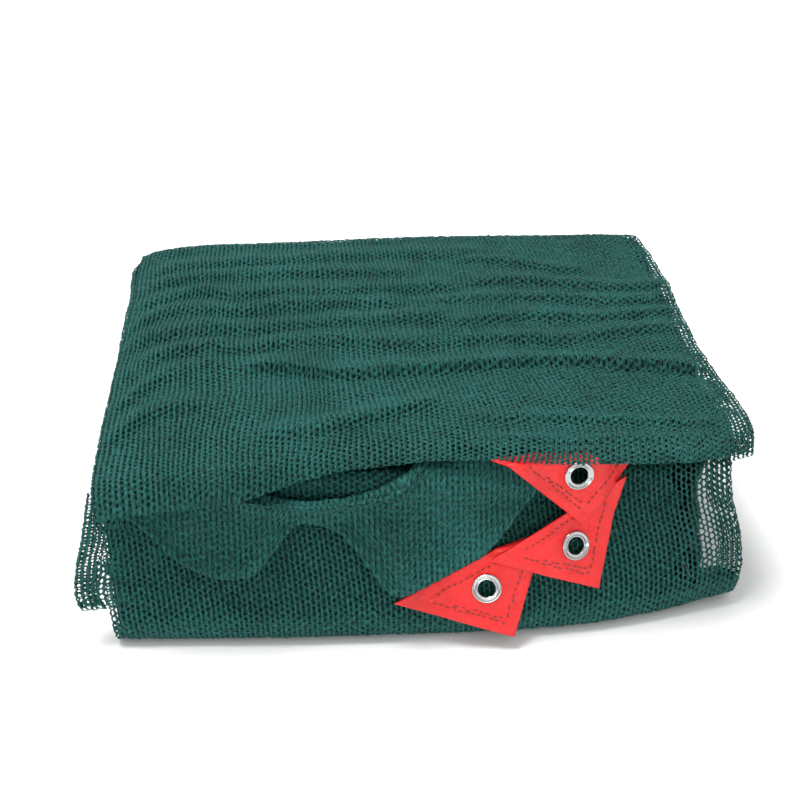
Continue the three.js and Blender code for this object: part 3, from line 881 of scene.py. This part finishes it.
def fold_profile(v, around, is_back):
    share = np.clip(v / FOLD_LENGTH, 0, 0.99999)
    heights, outs = [], []
    for count, bulge, seed in ((RIMS, 1.2, 51), (FOLDS, 1.0, 52)):
        number = np.floor(share * count)
        turn = math.pi * (share * count - number - 0.5)
        half = 0.5 * FOLD_TOP / count
        heights.append((number + 0.5) * 2 * half + half * np.sin(turn))
        slip = 1.8 * hills(around, number * 71.0, 55, seed) + 0.8 * hills(around, number * 71.0, 17, seed)
        outs.append(half * bulge * np.cos(turn) + slip)
    droop = 0.7 * hills(around, v, 40, 53) * ease(share * 12) * ease((1 - share) * 12)
    return mix(heights[0], heights[1], is_back) + droop, mix(outs[0], outs[1], is_back)


def back_line(v):
    share = np.clip(v / FOLD_LENGTH, 0, 1) * FOLDS - 0.5
    return np.interp(share, range(FOLDS), BACK_DEPTH) - 3


def back_wave(x, v):
    return 2.0 * np.sin((x + 9 * v / COURSE) / 150 * math.pi)


def corner_of(v, side):
    height = np.clip(v / FOLD_LENGTH, 0, 1) * FOLD_TOP
    x = read(SIDE_LINE, side, height, soft=4)
    centre_x = x + CORNER if side == "left" else x - CORNER
    return x, centre_x, back_line(v) + back_wave(centre_x, v) - CORNER


def side_place(side):
    sign = -1 if side == "left" else 1

    def at(u, v):
        run = u if side == "left" else SIDE_LENGTH - u
        angle = np.clip(run / CORNER, 0, 0.5 * math.pi)
        is_back = 1 - ease(angle / (0.5 * math.pi))
        around = sign * (run + 500)
        height, out = fold_profile(v, around, is_back)
        edge, centre_x, centre_y = corner_of(v, side)
        lean, _, _, _ = front_line(edge)
        front_y = read(FRONT, "foot", edge) + 5 + lean * (height - BEND)
        front_y = front_y + 14 * (1 - ease(height / 14))
        share = np.clip((run - CORNER_RUN) / (SIDE_LENGTH - CORNER_RUN), 0, 1)
        tuck = 7 * np.exp(-(SIDE_LENGTH - run) / 5)
        x = centre_x + sign * ((CORNER + out) * np.sin(angle) - tuck)
        y = centre_y + (CORNER + out) * np.cos(angle)
        y = np.where(run > CORNER_RUN, mix(centre_y, front_y, share), y)
        return stack(x, y, np.maximum(height, 0.3))
    return at


def back_place(u, v):
    _, left_x, left_y = corner_of(v, "left")
    _, right_x, right_y = corner_of(v, "right")
    share = np.clip(u / BACK_LENGTH, 0, 1)
    x = mix(right_x, left_x, share)
    near_left, near_right = ease((u - BACK_LENGTH + 40) / 40), ease((40 - u) / 40)
    around = mix(mix(u, -500.0, near_left), 500.0, near_right)
    height, out = fold_profile(v, around, 1.0)
    y = back_line(v) + back_wave(x, v) + out
    return stack(x, y, np.maximum(height, 0.3))


def make_folds():
    opening = openness(0.38, 0.6, size=30, seed=61)
    for name, place, span in (("left", side_place("left"), SIDE_LENGTH),
                              ("back", back_place, BACK_LENGTH),
                              ("right", side_place("right"), SIDE_LENGTH)):
        size = (span, FOLD_LENGTH)
        first = knit(place, *size, opening, 62)
        add_cloth(f"net_{name}_folds", first, thread)
        below = ply(place, *size, 1.4, (7, 2.5))
        add_cloth(f"net_{name}_under", below, under_ply)


def base_place(u, v):
    x = mix(-204, 192, u / BASE_SIZE[0])
    y = mix(168, read(FRONT, "foot", x) + 16, v / BASE_SIZE[1])
    return stack(x, y, 0.6 + 0 * u)


make_folds()
base = ply(base_place, *BASE_SIZE, 0, (8, 8))
add_cloth("net_base", base, under_ply)

# %% [markdown]
# ## The fold over the front
# A loose fold hangs from under the lip. Its hem is a soft turn that rises and falls, and in the middle its
# upper edge gapes open as a pocket with a rolled rim. It is made from the hem up, so that its rows of
# holes run along the hem, as they do on the real one.

# %% The hanging fold
RIM = table("x along off",
            [-185, -26, 11.6], [-165, -24, 11.0], [-150, -7, 11], [-140, 5, 12], [-128, 10, 16],
            [-101, 14, 19], [-81, 16.5, 20], [-58, 15, 19], [-31, 12, 18.5], [-15, 8.7, 18.5],
            [-4, 3, 18], [8, -10, 16], [24, -26, 15.6])
FLAP_LEFT = -222
FLAP_SPAN = 326
FLAP_LENGTH = 136
FLAP_RETURN = 8
HEM_TURN = 1.7
RIM_TURN = 3.3
FLAP_REST = 8.8
INSIDE = 30
ROUND = 11.5
STRETCH = 2.2


def to_surface(along):
    """The true distance over the head of the wrap, which is a wide turn for an outer ply."""
    turned = np.clip(along, 0, ROUND)
    return np.minimum(along, 0) + turned * STRETCH + np.maximum(along - ROUND, 0)


def from_surface(distance):
    turned = np.clip(distance, 0, ROUND * STRETCH)
    return np.minimum(distance, 0) + turned / STRETCH + np.maximum(distance - ROUND * STRETCH, 0)


def flap_shape(x):
    hang = read(FLAP, "hang", x, soft=5) + 1.5 * hills(x, 0 * x, 30, 71)
    rim = read(RIM, "along", x, soft=5)
    rim_off = read(RIM, "off", x, soft=5)
    return hang, rim, rim_off


def flap_folds(x, along):
    broad = 2.0 * hills(x, along, 46, 72) + 1.0 * hills(x, along, 18, 73)
    gather = 4.2 * np.exp(-((x + 108 + 0.35 * (along - 30)) / 8) ** 2) * ease((along - 12) / 14)
    drape = 3.6 * np.exp(-((x + 34 - 0.6 * (along - 40)) / 9) ** 2) * ease((along - 16) / 14)
    crease = -2.6 * np.exp(-((x - 2 - 0.5 * (along - 40)) / 6) ** 2) * ease((along - 14) / 20)
    return broad * ease((along - 4) / 14) + gather + drape + crease


def flap_off(x, along):
    _, rim, rim_off = flap_shape(x)
    close = ease((along - np.maximum(rim, 0)) / mix(24, 17, ease(rim / 8)))
    return mix(rim_off, FLAP_REST, close)


def flap_place(u, v):
    x = FLAP_LEFT + u
    hang, rim, _ = flap_shape(x)
    hem = math.pi * HEM_TURN
    turn = np.clip((v - FLAP_RETURN) / HEM_TURN, 0, math.pi)
    up = np.maximum(v - FLAP_RETURN - hem, 0)
    distance = to_surface(hang) - up
    rim_at = to_surface(rim)
    roll = np.clip((rim_at - distance) / RIM_TURN, 0, math.pi)
    inside = np.maximum(rim_at - distance - math.pi * RIM_TURN, 0)
    shown = from_surface(np.maximum(distance, rim_at)) + 0.55 * inside - RIM_TURN * np.sin(roll)
    shown = shown - np.maximum(FLAP_RETURN - v, 0) + HEM_TURN * np.sin(turn)
    kick = 4.6 * np.exp(-up / 7)
    off = flap_off(x, shown) + flap_folds(x, shown) + kick
    off = off - HEM_TURN * (1 + np.cos(turn)) * (v < FLAP_RETURN + hem)
    off = off - RIM_TURN * (1 - np.cos(roll)) - 0.16 * inside
    y, z = on_front(x, shown, off)
    return stack(x, y, z)


def in_sight(u, v):
    hang, rim, _ = flap_shape(FLAP_LEFT + u)
    distance = to_surface(hang) - (v - FLAP_RETURN - math.pi * HEM_TURN)
    deep = (rim > -20) & (distance < to_surface(rim) - math.pi * RIM_TURN - INSIDE)
    return ~(deep | (distance < -44) | (hang < -8))


def make_flap():
    opening = openness(0.20, 0.33, change=0.2, size=26, seed=74)
    first = knit(flap_place, FLAP_SPAN, FLAP_LENGTH, opening, 75, keep=in_sight)
    add_cloth("net_flap", first, thread)
    below = ply(flap_place, FLAP_SPAN, FLAP_LENGTH, 1.3, (4, 3), (2, 2, FLAP_RETURN + 5, 0), in_sight)
    add_cloth("net_flap_under", below, under_ply)


make_flap()

# %% [markdown]
# The rim of the pouch is rolled over, and its roll stands proud of the flap as a soft tube. It is knit
# round a line that follows the table of the rim, and it thins out towards its two ends.

# %% The pouch's rolled rim
ROLL = 3.1
ROLL_ROUND = 19
ROLL_LEFT = -147
ROLL_SPAN = 158


def rim_place(u, v):
    x = ROLL_LEFT + u
    _, rim, rim_off = flap_shape(x)
    size = ROLL * mix(0.3, 1, ease(u / 22) * ease((ROLL_SPAN - u) / 22)) + 0.4 * hills(x, 0 * x, 17, 77)
    turn = 2 * math.pi * v / ROLL_ROUND
    y, z = on_front(x, rim + 0.4 * ROLL - 0.6 * size * np.sin(turn), rim_off + size * np.cos(turn))
    return stack(x, y, z)


rolled = knit(rim_place, ROLL_SPAN, ROLL_ROUND, openness(0.22, 0.34), 76)
add_cloth("net_pouch_rim", rolled, thread)

# %% [markdown]
# Inside the pocket lie two more plies: one against the wall, in the dark, and one in front of it that is
# folded over at its upper edge.

# %% Inside the pocket
POCKET_LEFT = -150
POCKET_SPAN = 165
POCKET_LENGTH = 74


def pocket_place(high, low, top, roll_turn):
    def at(u, v):
        x = POCKET_LEFT + u
        distance = to_surface(34) - v
        edge = to_surface(top + 1.5 * np.sin((x + 40) / 23) - 0.02 * (x + 60))
        roll = np.clip((edge - distance) / roll_turn, 0, math.pi)
        down = np.maximum(edge - distance - math.pi * roll_turn, 0)
        shown = from_surface(np.maximum(distance, edge)) + 0.5 * down - roll_turn * np.sin(roll)
        out = mix(high, low, ease(shown / 22)) + 0.7 * hills(x, shown, 30, 81)
        y, z = on_front(x, shown, out - roll_turn * (1 - np.cos(roll)))
        return stack(x, y, z)
    return at


def make_pocket():
    opening = openness(0.4, 0.6, size=26, seed=82)
    size = (POCKET_SPAN, POCKET_LENGTH)
    for name, high, low, top, turn in (("back", 8.6, 3.6, -20, 1.5), ("fold", 14.0, 4.6, 4.5, 1.8)):
        place = pocket_place(high, low, top, turn)
        first = knit(place, *size, opening, 83)
        add_cloth(f"net_pocket_{name}", first, thread)
        below = ply(place, *size, 1.0, (5, 3))
        add_cloth(f"net_pocket_{name}_under", below, under_ply)


make_pocket()

# %% [markdown]
# ## The loose fold at the left
# At the left a fold of the wrap has slipped out and stands proud of the pack, with nothing behind it. Two
# plies of net show there, and the white floor through both.

# %% Loose fold
LOOSE = table("z left",
              [28, -233], [33, -239], [40, -241.5], [52, -241.5], [62, -240], [74, -237],
              [88, -234], [104, -231], [114, -229])
LOOSE_LOW = 32
LOOSE_SPAN = 64
LOOSE_LENGTH = 86
LOOSE_TURN = 1.8
LOOSE_RETURN = 20


def loose_place(u, v):
    inner, out, down = side_loop(u - LOOSE_RETURN, LOOSE_TURN, right=False)
    z = LOOSE_LOW + v * 0.94
    left = read(LOOSE, "left", z, soft=3)
    x = left + np.clip(inner, 0, LOOSE_SPAN) + out
    lean = read(FRONT, "lean", x)
    wall = read(FRONT, "foot", x) + 2 + lean * (z - BEND)
    proud = mix(5.5, 0.6, ease(inner / 44)) + 1.2 * hills(x, z, 14, 91)
    crease = 1.6 * np.exp(-((x + 221) / 2.5) ** 2) * ease((z - 76) / 8)
    x = x + 1.8 * hills(x, z, 13, 94) * ease(inner / 6)
    z = z + 2.2 * hills(x, z, 15, 95) * ease(v / 8)
    return stack(x, wall - proud - crease + down, z)


def make_loose_fold():
    size = (LOOSE_RETURN + LOOSE_SPAN, LOOSE_LENGTH)
    opening = openness(0.50, 0.70, change=0.3, size=12, seed=92)
    first = knit(loose_place, *size, opening, 93)
    add_cloth("net_loose_fold", first, thread)


make_loose_fold()

# %% [markdown]
# ## The patches
# Each net corner is wrapped in a triangle of red coated tape cloth, with a square corner at the bottom.
# It is stiff enough to hold its shape, and bends a little over what it lies on. The patch is made flat,
# as a fine grid with a round hole, and each point is then carried to its place on the bent surface.
# Each row of the table says where the square corner is, and how the patch is turned: about the upright,
# back from it, and within its own plane. `lean` is how far its second side is off the square. `across`
# and `up` are the angles by which it bends back at a distance from the corner, and `leg` is a short side.

# %% Patch tables
PATCH_SHEET = 1.6
PATCHES = {
    "lower": dict(corner=(55.6, -196.8, 9.1), yaw=-3.5, tilt=23.6, roll=16, lean=0, leg=86,
                  eyelet=(28, 28), across=[(-6, 0), (0, 14)], up=[(60, 0), (63, 65)], seed=101),
    "middle": dict(corner=(116.2, -176.5, 31.9), yaw=20, tilt=24.5, roll=26.5, lean=7, leg=82,
                   eyelet=(23.77, 25.32), across=[(-38, -16), (-32, 0), (-4, 0), (2, -14)],
                   up=[(46, 0), (52, -14)], seed=102),
    "upper": dict(corner=(104, -162.7, 77.5), yaw=8, tilt=11, roll=44, lean=0, leg=86,
                  eyelet=(28, 25), across=[(-16, 2), (-12, 0), (12, 0), (18, 24)],
                  up=[(47.8, 0), (51.8, 79)], seed=103),
}


def bend_run(rows, length):
    at, angle = np.array(rows, float).T
    steps = 24
    along = np.zeros_like(length)
    behind = np.zeros_like(length)
    for i in range(steps):
        turn = np.radians(np.interp(length * (i + 0.5) / steps, at, angle))
        along = along + np.cos(turn) * length / steps
        behind = behind + np.sin(turn) * length / steps
    return along, behind


def patch_bare(patch, a, b):
    roll, yaw, tilt = (math.radians(patch[key]) for key in ("roll", "yaw", "tilt"))
    second = roll - math.radians(patch["lean"])
    right = np.array([math.cos(yaw), math.sin(yaw), 0])
    back = np.array([-math.sin(yaw), math.cos(yaw), 0])
    rise = back * math.sin(tilt) + np.array([0, 0, math.cos(tilt)])
    inward = back * math.cos(tilt) - np.array([0, 0, math.sin(tilt)])
    a, b = np.asarray(a, float), np.asarray(b, float)
    sideways, side_behind = bend_run(patch["across"], -a * math.cos(roll) + b * math.sin(second))
    upwards, up_behind = bend_run(patch["up"], a * math.sin(roll) + b * math.cos(second))
    return (np.array(patch["corner"]) + sideways[..., None] * right + upwards[..., None] * rise
            + (side_behind + up_behind)[..., None] * inward)


def patch_normal(patch, a, b):
    step = 0.5
    along = patch_bare(patch, a + step, b) - patch_bare(patch, a - step, b)
    up = patch_bare(patch, a, b + step) - patch_bare(patch, a, b - step)
    normal = np.cross(up, along)
    return normal / np.linalg.norm(normal, axis=-1, keepdims=True)


# %% [markdown]
# The red cloth is woven from flat tapes and coated, so it shines and shows small creases. A fine grid of
# bumps stands for the tapes, and a coarser noise for the creases, which catch white glints.

# %% Red material
RED = (1.0, 0.010, 0.010)
RED_DEEP = (0.82, 0.005, 0.006)
TAPE = 1.1


def red_material():
    made, tree, shader = new_material("red_coated_tape", Roughness=0.35, Specular_IOR_Level=0.35,
                                      Coat_Weight=0.55, Coat_Roughness=0.12)
    weave = add(tree, "ShaderNodeUVMap", uv_map="weave")
    parts = add(tree, "ShaderNodeSeparateXYZ", {"Vector": weave.outputs["UV"]})
    sines = [math_node(tree, "SINE", math_node(tree, "MULTIPLY", parts.outputs[axis], 2 * math.pi))
             for axis in ("X", "Y")]
    tapes = math_node(tree, "MULTIPLY", *sines)
    creases = object_noise(tree, 130, detail=4)
    broad = object_noise(tree, 45)
    sharp = math_node(tree, "ABSOLUTE", math_node(tree, "SUBTRACT", creases, 0.5))
    folds = math_node(tree, "ADD", creases, math_node(tree, "MULTIPLY", sharp, -1.6))
    height = math_node(tree, "ADD", math_node(tree, "MULTIPLY", tapes, 0.10), folds)
    bump = add(tree, "ShaderNodeBump", {"Height": height, "Strength": 0.9, "Distance": 0.0014})
    tree.links.new(bump.outputs["Normal"], shader.inputs["Normal"])
    tree.links.new(bump.outputs["Normal"], shader.inputs["Coat Normal"])
    colour = blend_colours(tree, spread(tree, broad, 0.35, 0.6), RED_DEEP, RED)
    tree.links.new(colour, shader.inputs["Base Color"])
    return made


red = red_material()

# %% [markdown]
# The plate has a front face, a back face and walls along its edge and round its hole. The walls stand on
# the edges that only one triangle has.

# %% Make the patches
GRID = 1.6
HOLE = 7.4


def patch_relief(patch, a, b):
    leg = patch["leg"]
    edge = np.minimum(np.minimum(a, b), (leg - a - b) / math.sqrt(2))
    hem = 0.45 * np.exp(-((edge - 7.5) / 1.2) ** 2)
    crumple = 0.55 * hills(a, b, 15, patch["seed"]) + 0.25 * hills(a, b, 6, patch["seed"] + 10)
    away = np.hypot(a - patch["eyelet"][0], b - patch["eyelet"][1])
    return (crumple - hem) * ease((away - 11) / 6)


def patch_grid(patch):
    count = round(patch["leg"] / GRID)
    step = patch["leg"] / count
    number, flat = {}, []
    for i in range(count + 1):
        for j in range(count + 1 - i):
            number[i, j] = len(flat)
            flat.append((i * step, j * step))
    flat = np.array(flat)
    triangles = [(number[i, j], number[i + 1, j], number[i, j + 1])
                 for i in range(count) for j in range(count - i)]
    triangles += [(number[i + 1, j], number[i + 1, j + 1], number[i, j + 1])
                  for i in range(count - 1) for j in range(count - 1 - i)]
    triangles = np.array(triangles)
    away = np.linalg.norm(flat[triangles].mean(axis=1) - patch["eyelet"], axis=1)
    return flat, triangles[away > HOLE]


def rim_edges(triangles):
    edges = {(int(t[k]), int(t[(k + 1) % 3])): True for t in triangles for k in range(3)}
    return [(p, q) for p, q in edges if (q, p) not in edges]


def make_patch(name, patch):
    flat, triangles = patch_grid(patch)
    a, b = flat.T
    bare, normal = patch_bare(patch, a, b), patch_normal(patch, a, b)
    relief = patch_relief(patch, a, b)[:, None]
    front = bare + normal * (0.5 * PATCH_SHEET + relief)
    rear = bare + normal * (relief - 0.5 * PATCH_SHEET)
    total = len(flat)
    faces = triangles[:, ::-1].tolist() + (triangles + total).tolist()
    faces += [(q, p, p + total, q + total) for p, q in rim_edges(triangles[:, ::-1])]
    weave = np.concatenate([flat, flat]) / TAPE
    piece = add_mesh(f"red_patch_{name}", np.concatenate([front, rear]), faces, red, weave)
    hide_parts(f"patch_{name}")


for patch_name, patch_row in PATCHES.items():
    make_patch(patch_name, patch_row)

# %% [markdown]
# ## The stitches
# A dark thread holds each patch on the net, in runs along its edges. They were sewn in a hurry, so the
# runs aren't quite straight and one side has two. Each stitch is a short rod that narrows at its ends,
# and its middle stands a little proud, as thread does that is drawn into the cloth at both ends.

# %% Stitches
STITCH_LENGTH = 3.0
STITCH_STEP = 4.4
STITCH_RADIUS = 0.32
STITCH_DRIFT = 0.35
CLEAR_OF_EYELET = 12.5
CLEAR_OF_EDGE = 3
ROD_SIDES = 6
ROD_RINGS = ((0.0, 0.25), (0.12, 0.9), (0.5, 1.0), (0.88, 0.9), (1.0, 0.25))
STITCH_RUNS = [((9, 8), (62, 8)), ((8, 60), (9, 9)), ((60, 14), (14, 60)), ((12, 11.5), (50, 10))]


def stitch_material():
    made, tree, shader = new_material("dark_sewing_thread", Roughness=0.6)
    noise = object_noise(tree, 900)
    colour = blend_colours(tree, noise, (0.008, 0.035, 0.026), (0.03, 0.07, 0.055))
    tree.links.new(colour, shader.inputs["Base Color"])
    return made


def stitch_rod(start, end, normal):
    forward = (end - start) / np.linalg.norm(end - start)
    side = np.cross(forward, normal)
    angles = np.arange(ROD_SIDES) * 2 * math.pi / ROD_SIDES
    circle = np.outer(np.cos(angles), side) + np.outer(np.sin(angles), normal)
    rings = []
    for share, size in ROD_RINGS:
        middle = start + (end - start) * share
        middle = middle + normal * STITCH_RADIUS * (1.6 * math.sin(math.pi * share) - 0.2)
        rings.append(middle + circle * STITCH_RADIUS * size)
    last = ROD_SIDES * (len(ROD_RINGS) - 1)
    faces = [(low + k, low + ROD_SIDES + k, low + ROD_SIDES + (k + 1) % ROD_SIDES,
              low + (k + 1) % ROD_SIDES)
             for low in range(0, last, ROD_SIDES) for k in range(ROD_SIDES)]
    faces.append(tuple(range(ROD_SIDES)))
    faces.append(tuple(range(last + ROD_SIDES - 1, last - 1, -1)))
    return np.concatenate(rings), faces


def make_stitches(name, patch):
    rng = np.random.default_rng(patch["seed"])
    points, faces, count = [], [], 0
    for first, last in STITCH_RUNS:
        first, last = np.array(first, float), np.array(last, float)
        length = np.linalg.norm(last - first)
        way = (last - first) / length
        for k in range(int(length / STITCH_STEP)):
            drift = rng.normal(0, STITCH_DRIFT, 2)
            flat = np.array([first + way * (k * STITCH_STEP + part) + drift for part in (0, STITCH_LENGTH)])
            away = np.linalg.norm(flat.mean(axis=0) - patch["eyelet"])
            if away < CLEAR_OF_EYELET or flat.sum(axis=1).max() > patch["leg"] - CLEAR_OF_EDGE:
                continue
            bare = patch_bare(patch, flat[:, 0], flat[:, 1])
            normal = patch_normal(patch, flat[:, 0], flat[:, 1])
            lift = 0.5 * PATCH_SHEET + patch_relief(patch, flat[:, 0], flat[:, 1])
            seat = bare + normal * lift[:, None]
            rod, rod_faces = stitch_rod(seat[0], seat[1], normal.mean(axis=0))
            faces += [tuple(i + len(rod) * count for i in face) for face in rod_faces]
            points.append(rod)
            count += 1
    add_mesh(f"stitches_{name}", np.concatenate(points), faces, stitch_thread)
    print(name, "stitches:", count)


stitch_thread = stitch_material()
for patch_name, patch_row in PATCHES.items():
    make_stitches(patch_name, patch_row)

# %% [markdown]
# ## The eyelets
# The eyelets are bright pressed metal. Their roughness changes from spot to spot, so that the shine is
# broken up as on a thing that was handled, and very fine bumps soften the edges of what it mirrors.

# %% Metal
def eyelet_material():
    made, tree, shader = new_material("pressed_metal", Metallic=1.0, Base_Color=(0.48, 0.49, 0.49, 1))
    rough = spread(tree, object_noise(tree, 260, detail=3), 0.3, 0.7, 0.10, 0.24)
    tree.links.new(rough, shader.inputs["Roughness"])
    bump = add(tree, "ShaderNodeBump",
               {"Height": object_noise(tree, 900, detail=3), "Strength": 0.12, "Distance": 0.0003})
    tree.links.new(bump.outputs["Normal"], shader.inputs["Normal"])
    return made


metal = eyelet_material()

# %% [markdown]
# A pressed eyelet is a thin metal ring rolled over the edge of its hole. It is made as by hand: a circle
# is extruded again and again, and each new ring is scaled and lifted along the ring's profile. The last
# ring is bridged to the first, and a subdivision rounds the steps.

# %% Make the eyelets
# The profile is a chain of radius and height in millimetres, from the bore up over the flange and back.
EYELET_SIDES = 40
EYELET_PROFILE = [(5.9, 0.0), (5.95, 1.2), (6.25, 1.75), (6.9, 2.0), (7.6, 1.7), (8.0, 1.5), (8.5, 1.75),
                  (9.3, 2.35), (10.0, 2.2), (10.4, 1.5), (10.1, 1.0), (6.9, 1.0), (6.6, -1.0), (9.8, -1.1),
                  (10.2, -1.4), (9.6, -1.7), (6.6, -1.75), (6.1, -1.4)]


def make_eyelet(name, patch):
    bpy.ops.object.select_all(action="DESELECT")
    radius, height = EYELET_PROFILE[0]
    bpy.ops.mesh.primitive_circle_add(vertices=EYELET_SIDES, radius=radius * MM,
                                      location=(0, 0, 0), fill_type="NOTHING")
    piece = bpy.context.object
    piece.name = f"ring_{name}"
    bpy.ops.object.mode_set(mode="EDIT")
    bpy.ops.mesh.select_mode(type="EDGE")
    for new_radius, new_height in EYELET_PROFILE[1:]:
        bpy.ops.mesh.extrude_region_move(
            TRANSFORM_OT_translate={"value": (0, 0, (new_height - height) * MM)})
        size = new_radius / radius
        bpy.ops.transform.resize(value=(size, size, 1))
        radius, height = new_radius, new_height
    bpy.ops.mesh.select_all(action="DESELECT")
    shape = bmesh.from_edit_mesh(piece.data)
    for edge in shape.edges:
        edge.select = edge.is_boundary
    bmesh.update_edit_mesh(piece.data)
    bpy.ops.mesh.bridge_edge_loops()
    bpy.ops.mesh.select_all(action="SELECT")
    bpy.ops.mesh.normals_make_consistent(inside=False)
    bpy.ops.object.mode_set(mode="OBJECT")
    smooth = piece.modifiers.new("smooth", "SUBSURF")
    smooth.levels = 1
    smooth.render_levels = 1
    bpy.ops.object.modifier_apply(modifier="smooth")
    bpy.ops.object.shade_smooth()
    a, b = patch["eyelet"]
    place = patch_bare(patch, np.array([a]), np.array([b]))[0]
    axis = Vector(patch_normal(patch, np.array([a]), np.array([b]))[0])
    piece.rotation_euler = axis.to_track_quat("Z", "Y").to_euler()
    piece.location = to_frame(place)
    bpy.ops.object.transform_apply(location=True, rotation=True, scale=True)
    piece.data.materials.append(metal)
    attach(piece, "root")
    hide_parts(f"eyelet_{name}")
    print(piece.name, "triangles:", sum(len(f.vertices) - 2 for f in piece.data.polygons))


for patch_name, patch_row in PATCHES.items():
    make_eyelet(patch_name, patch_row)
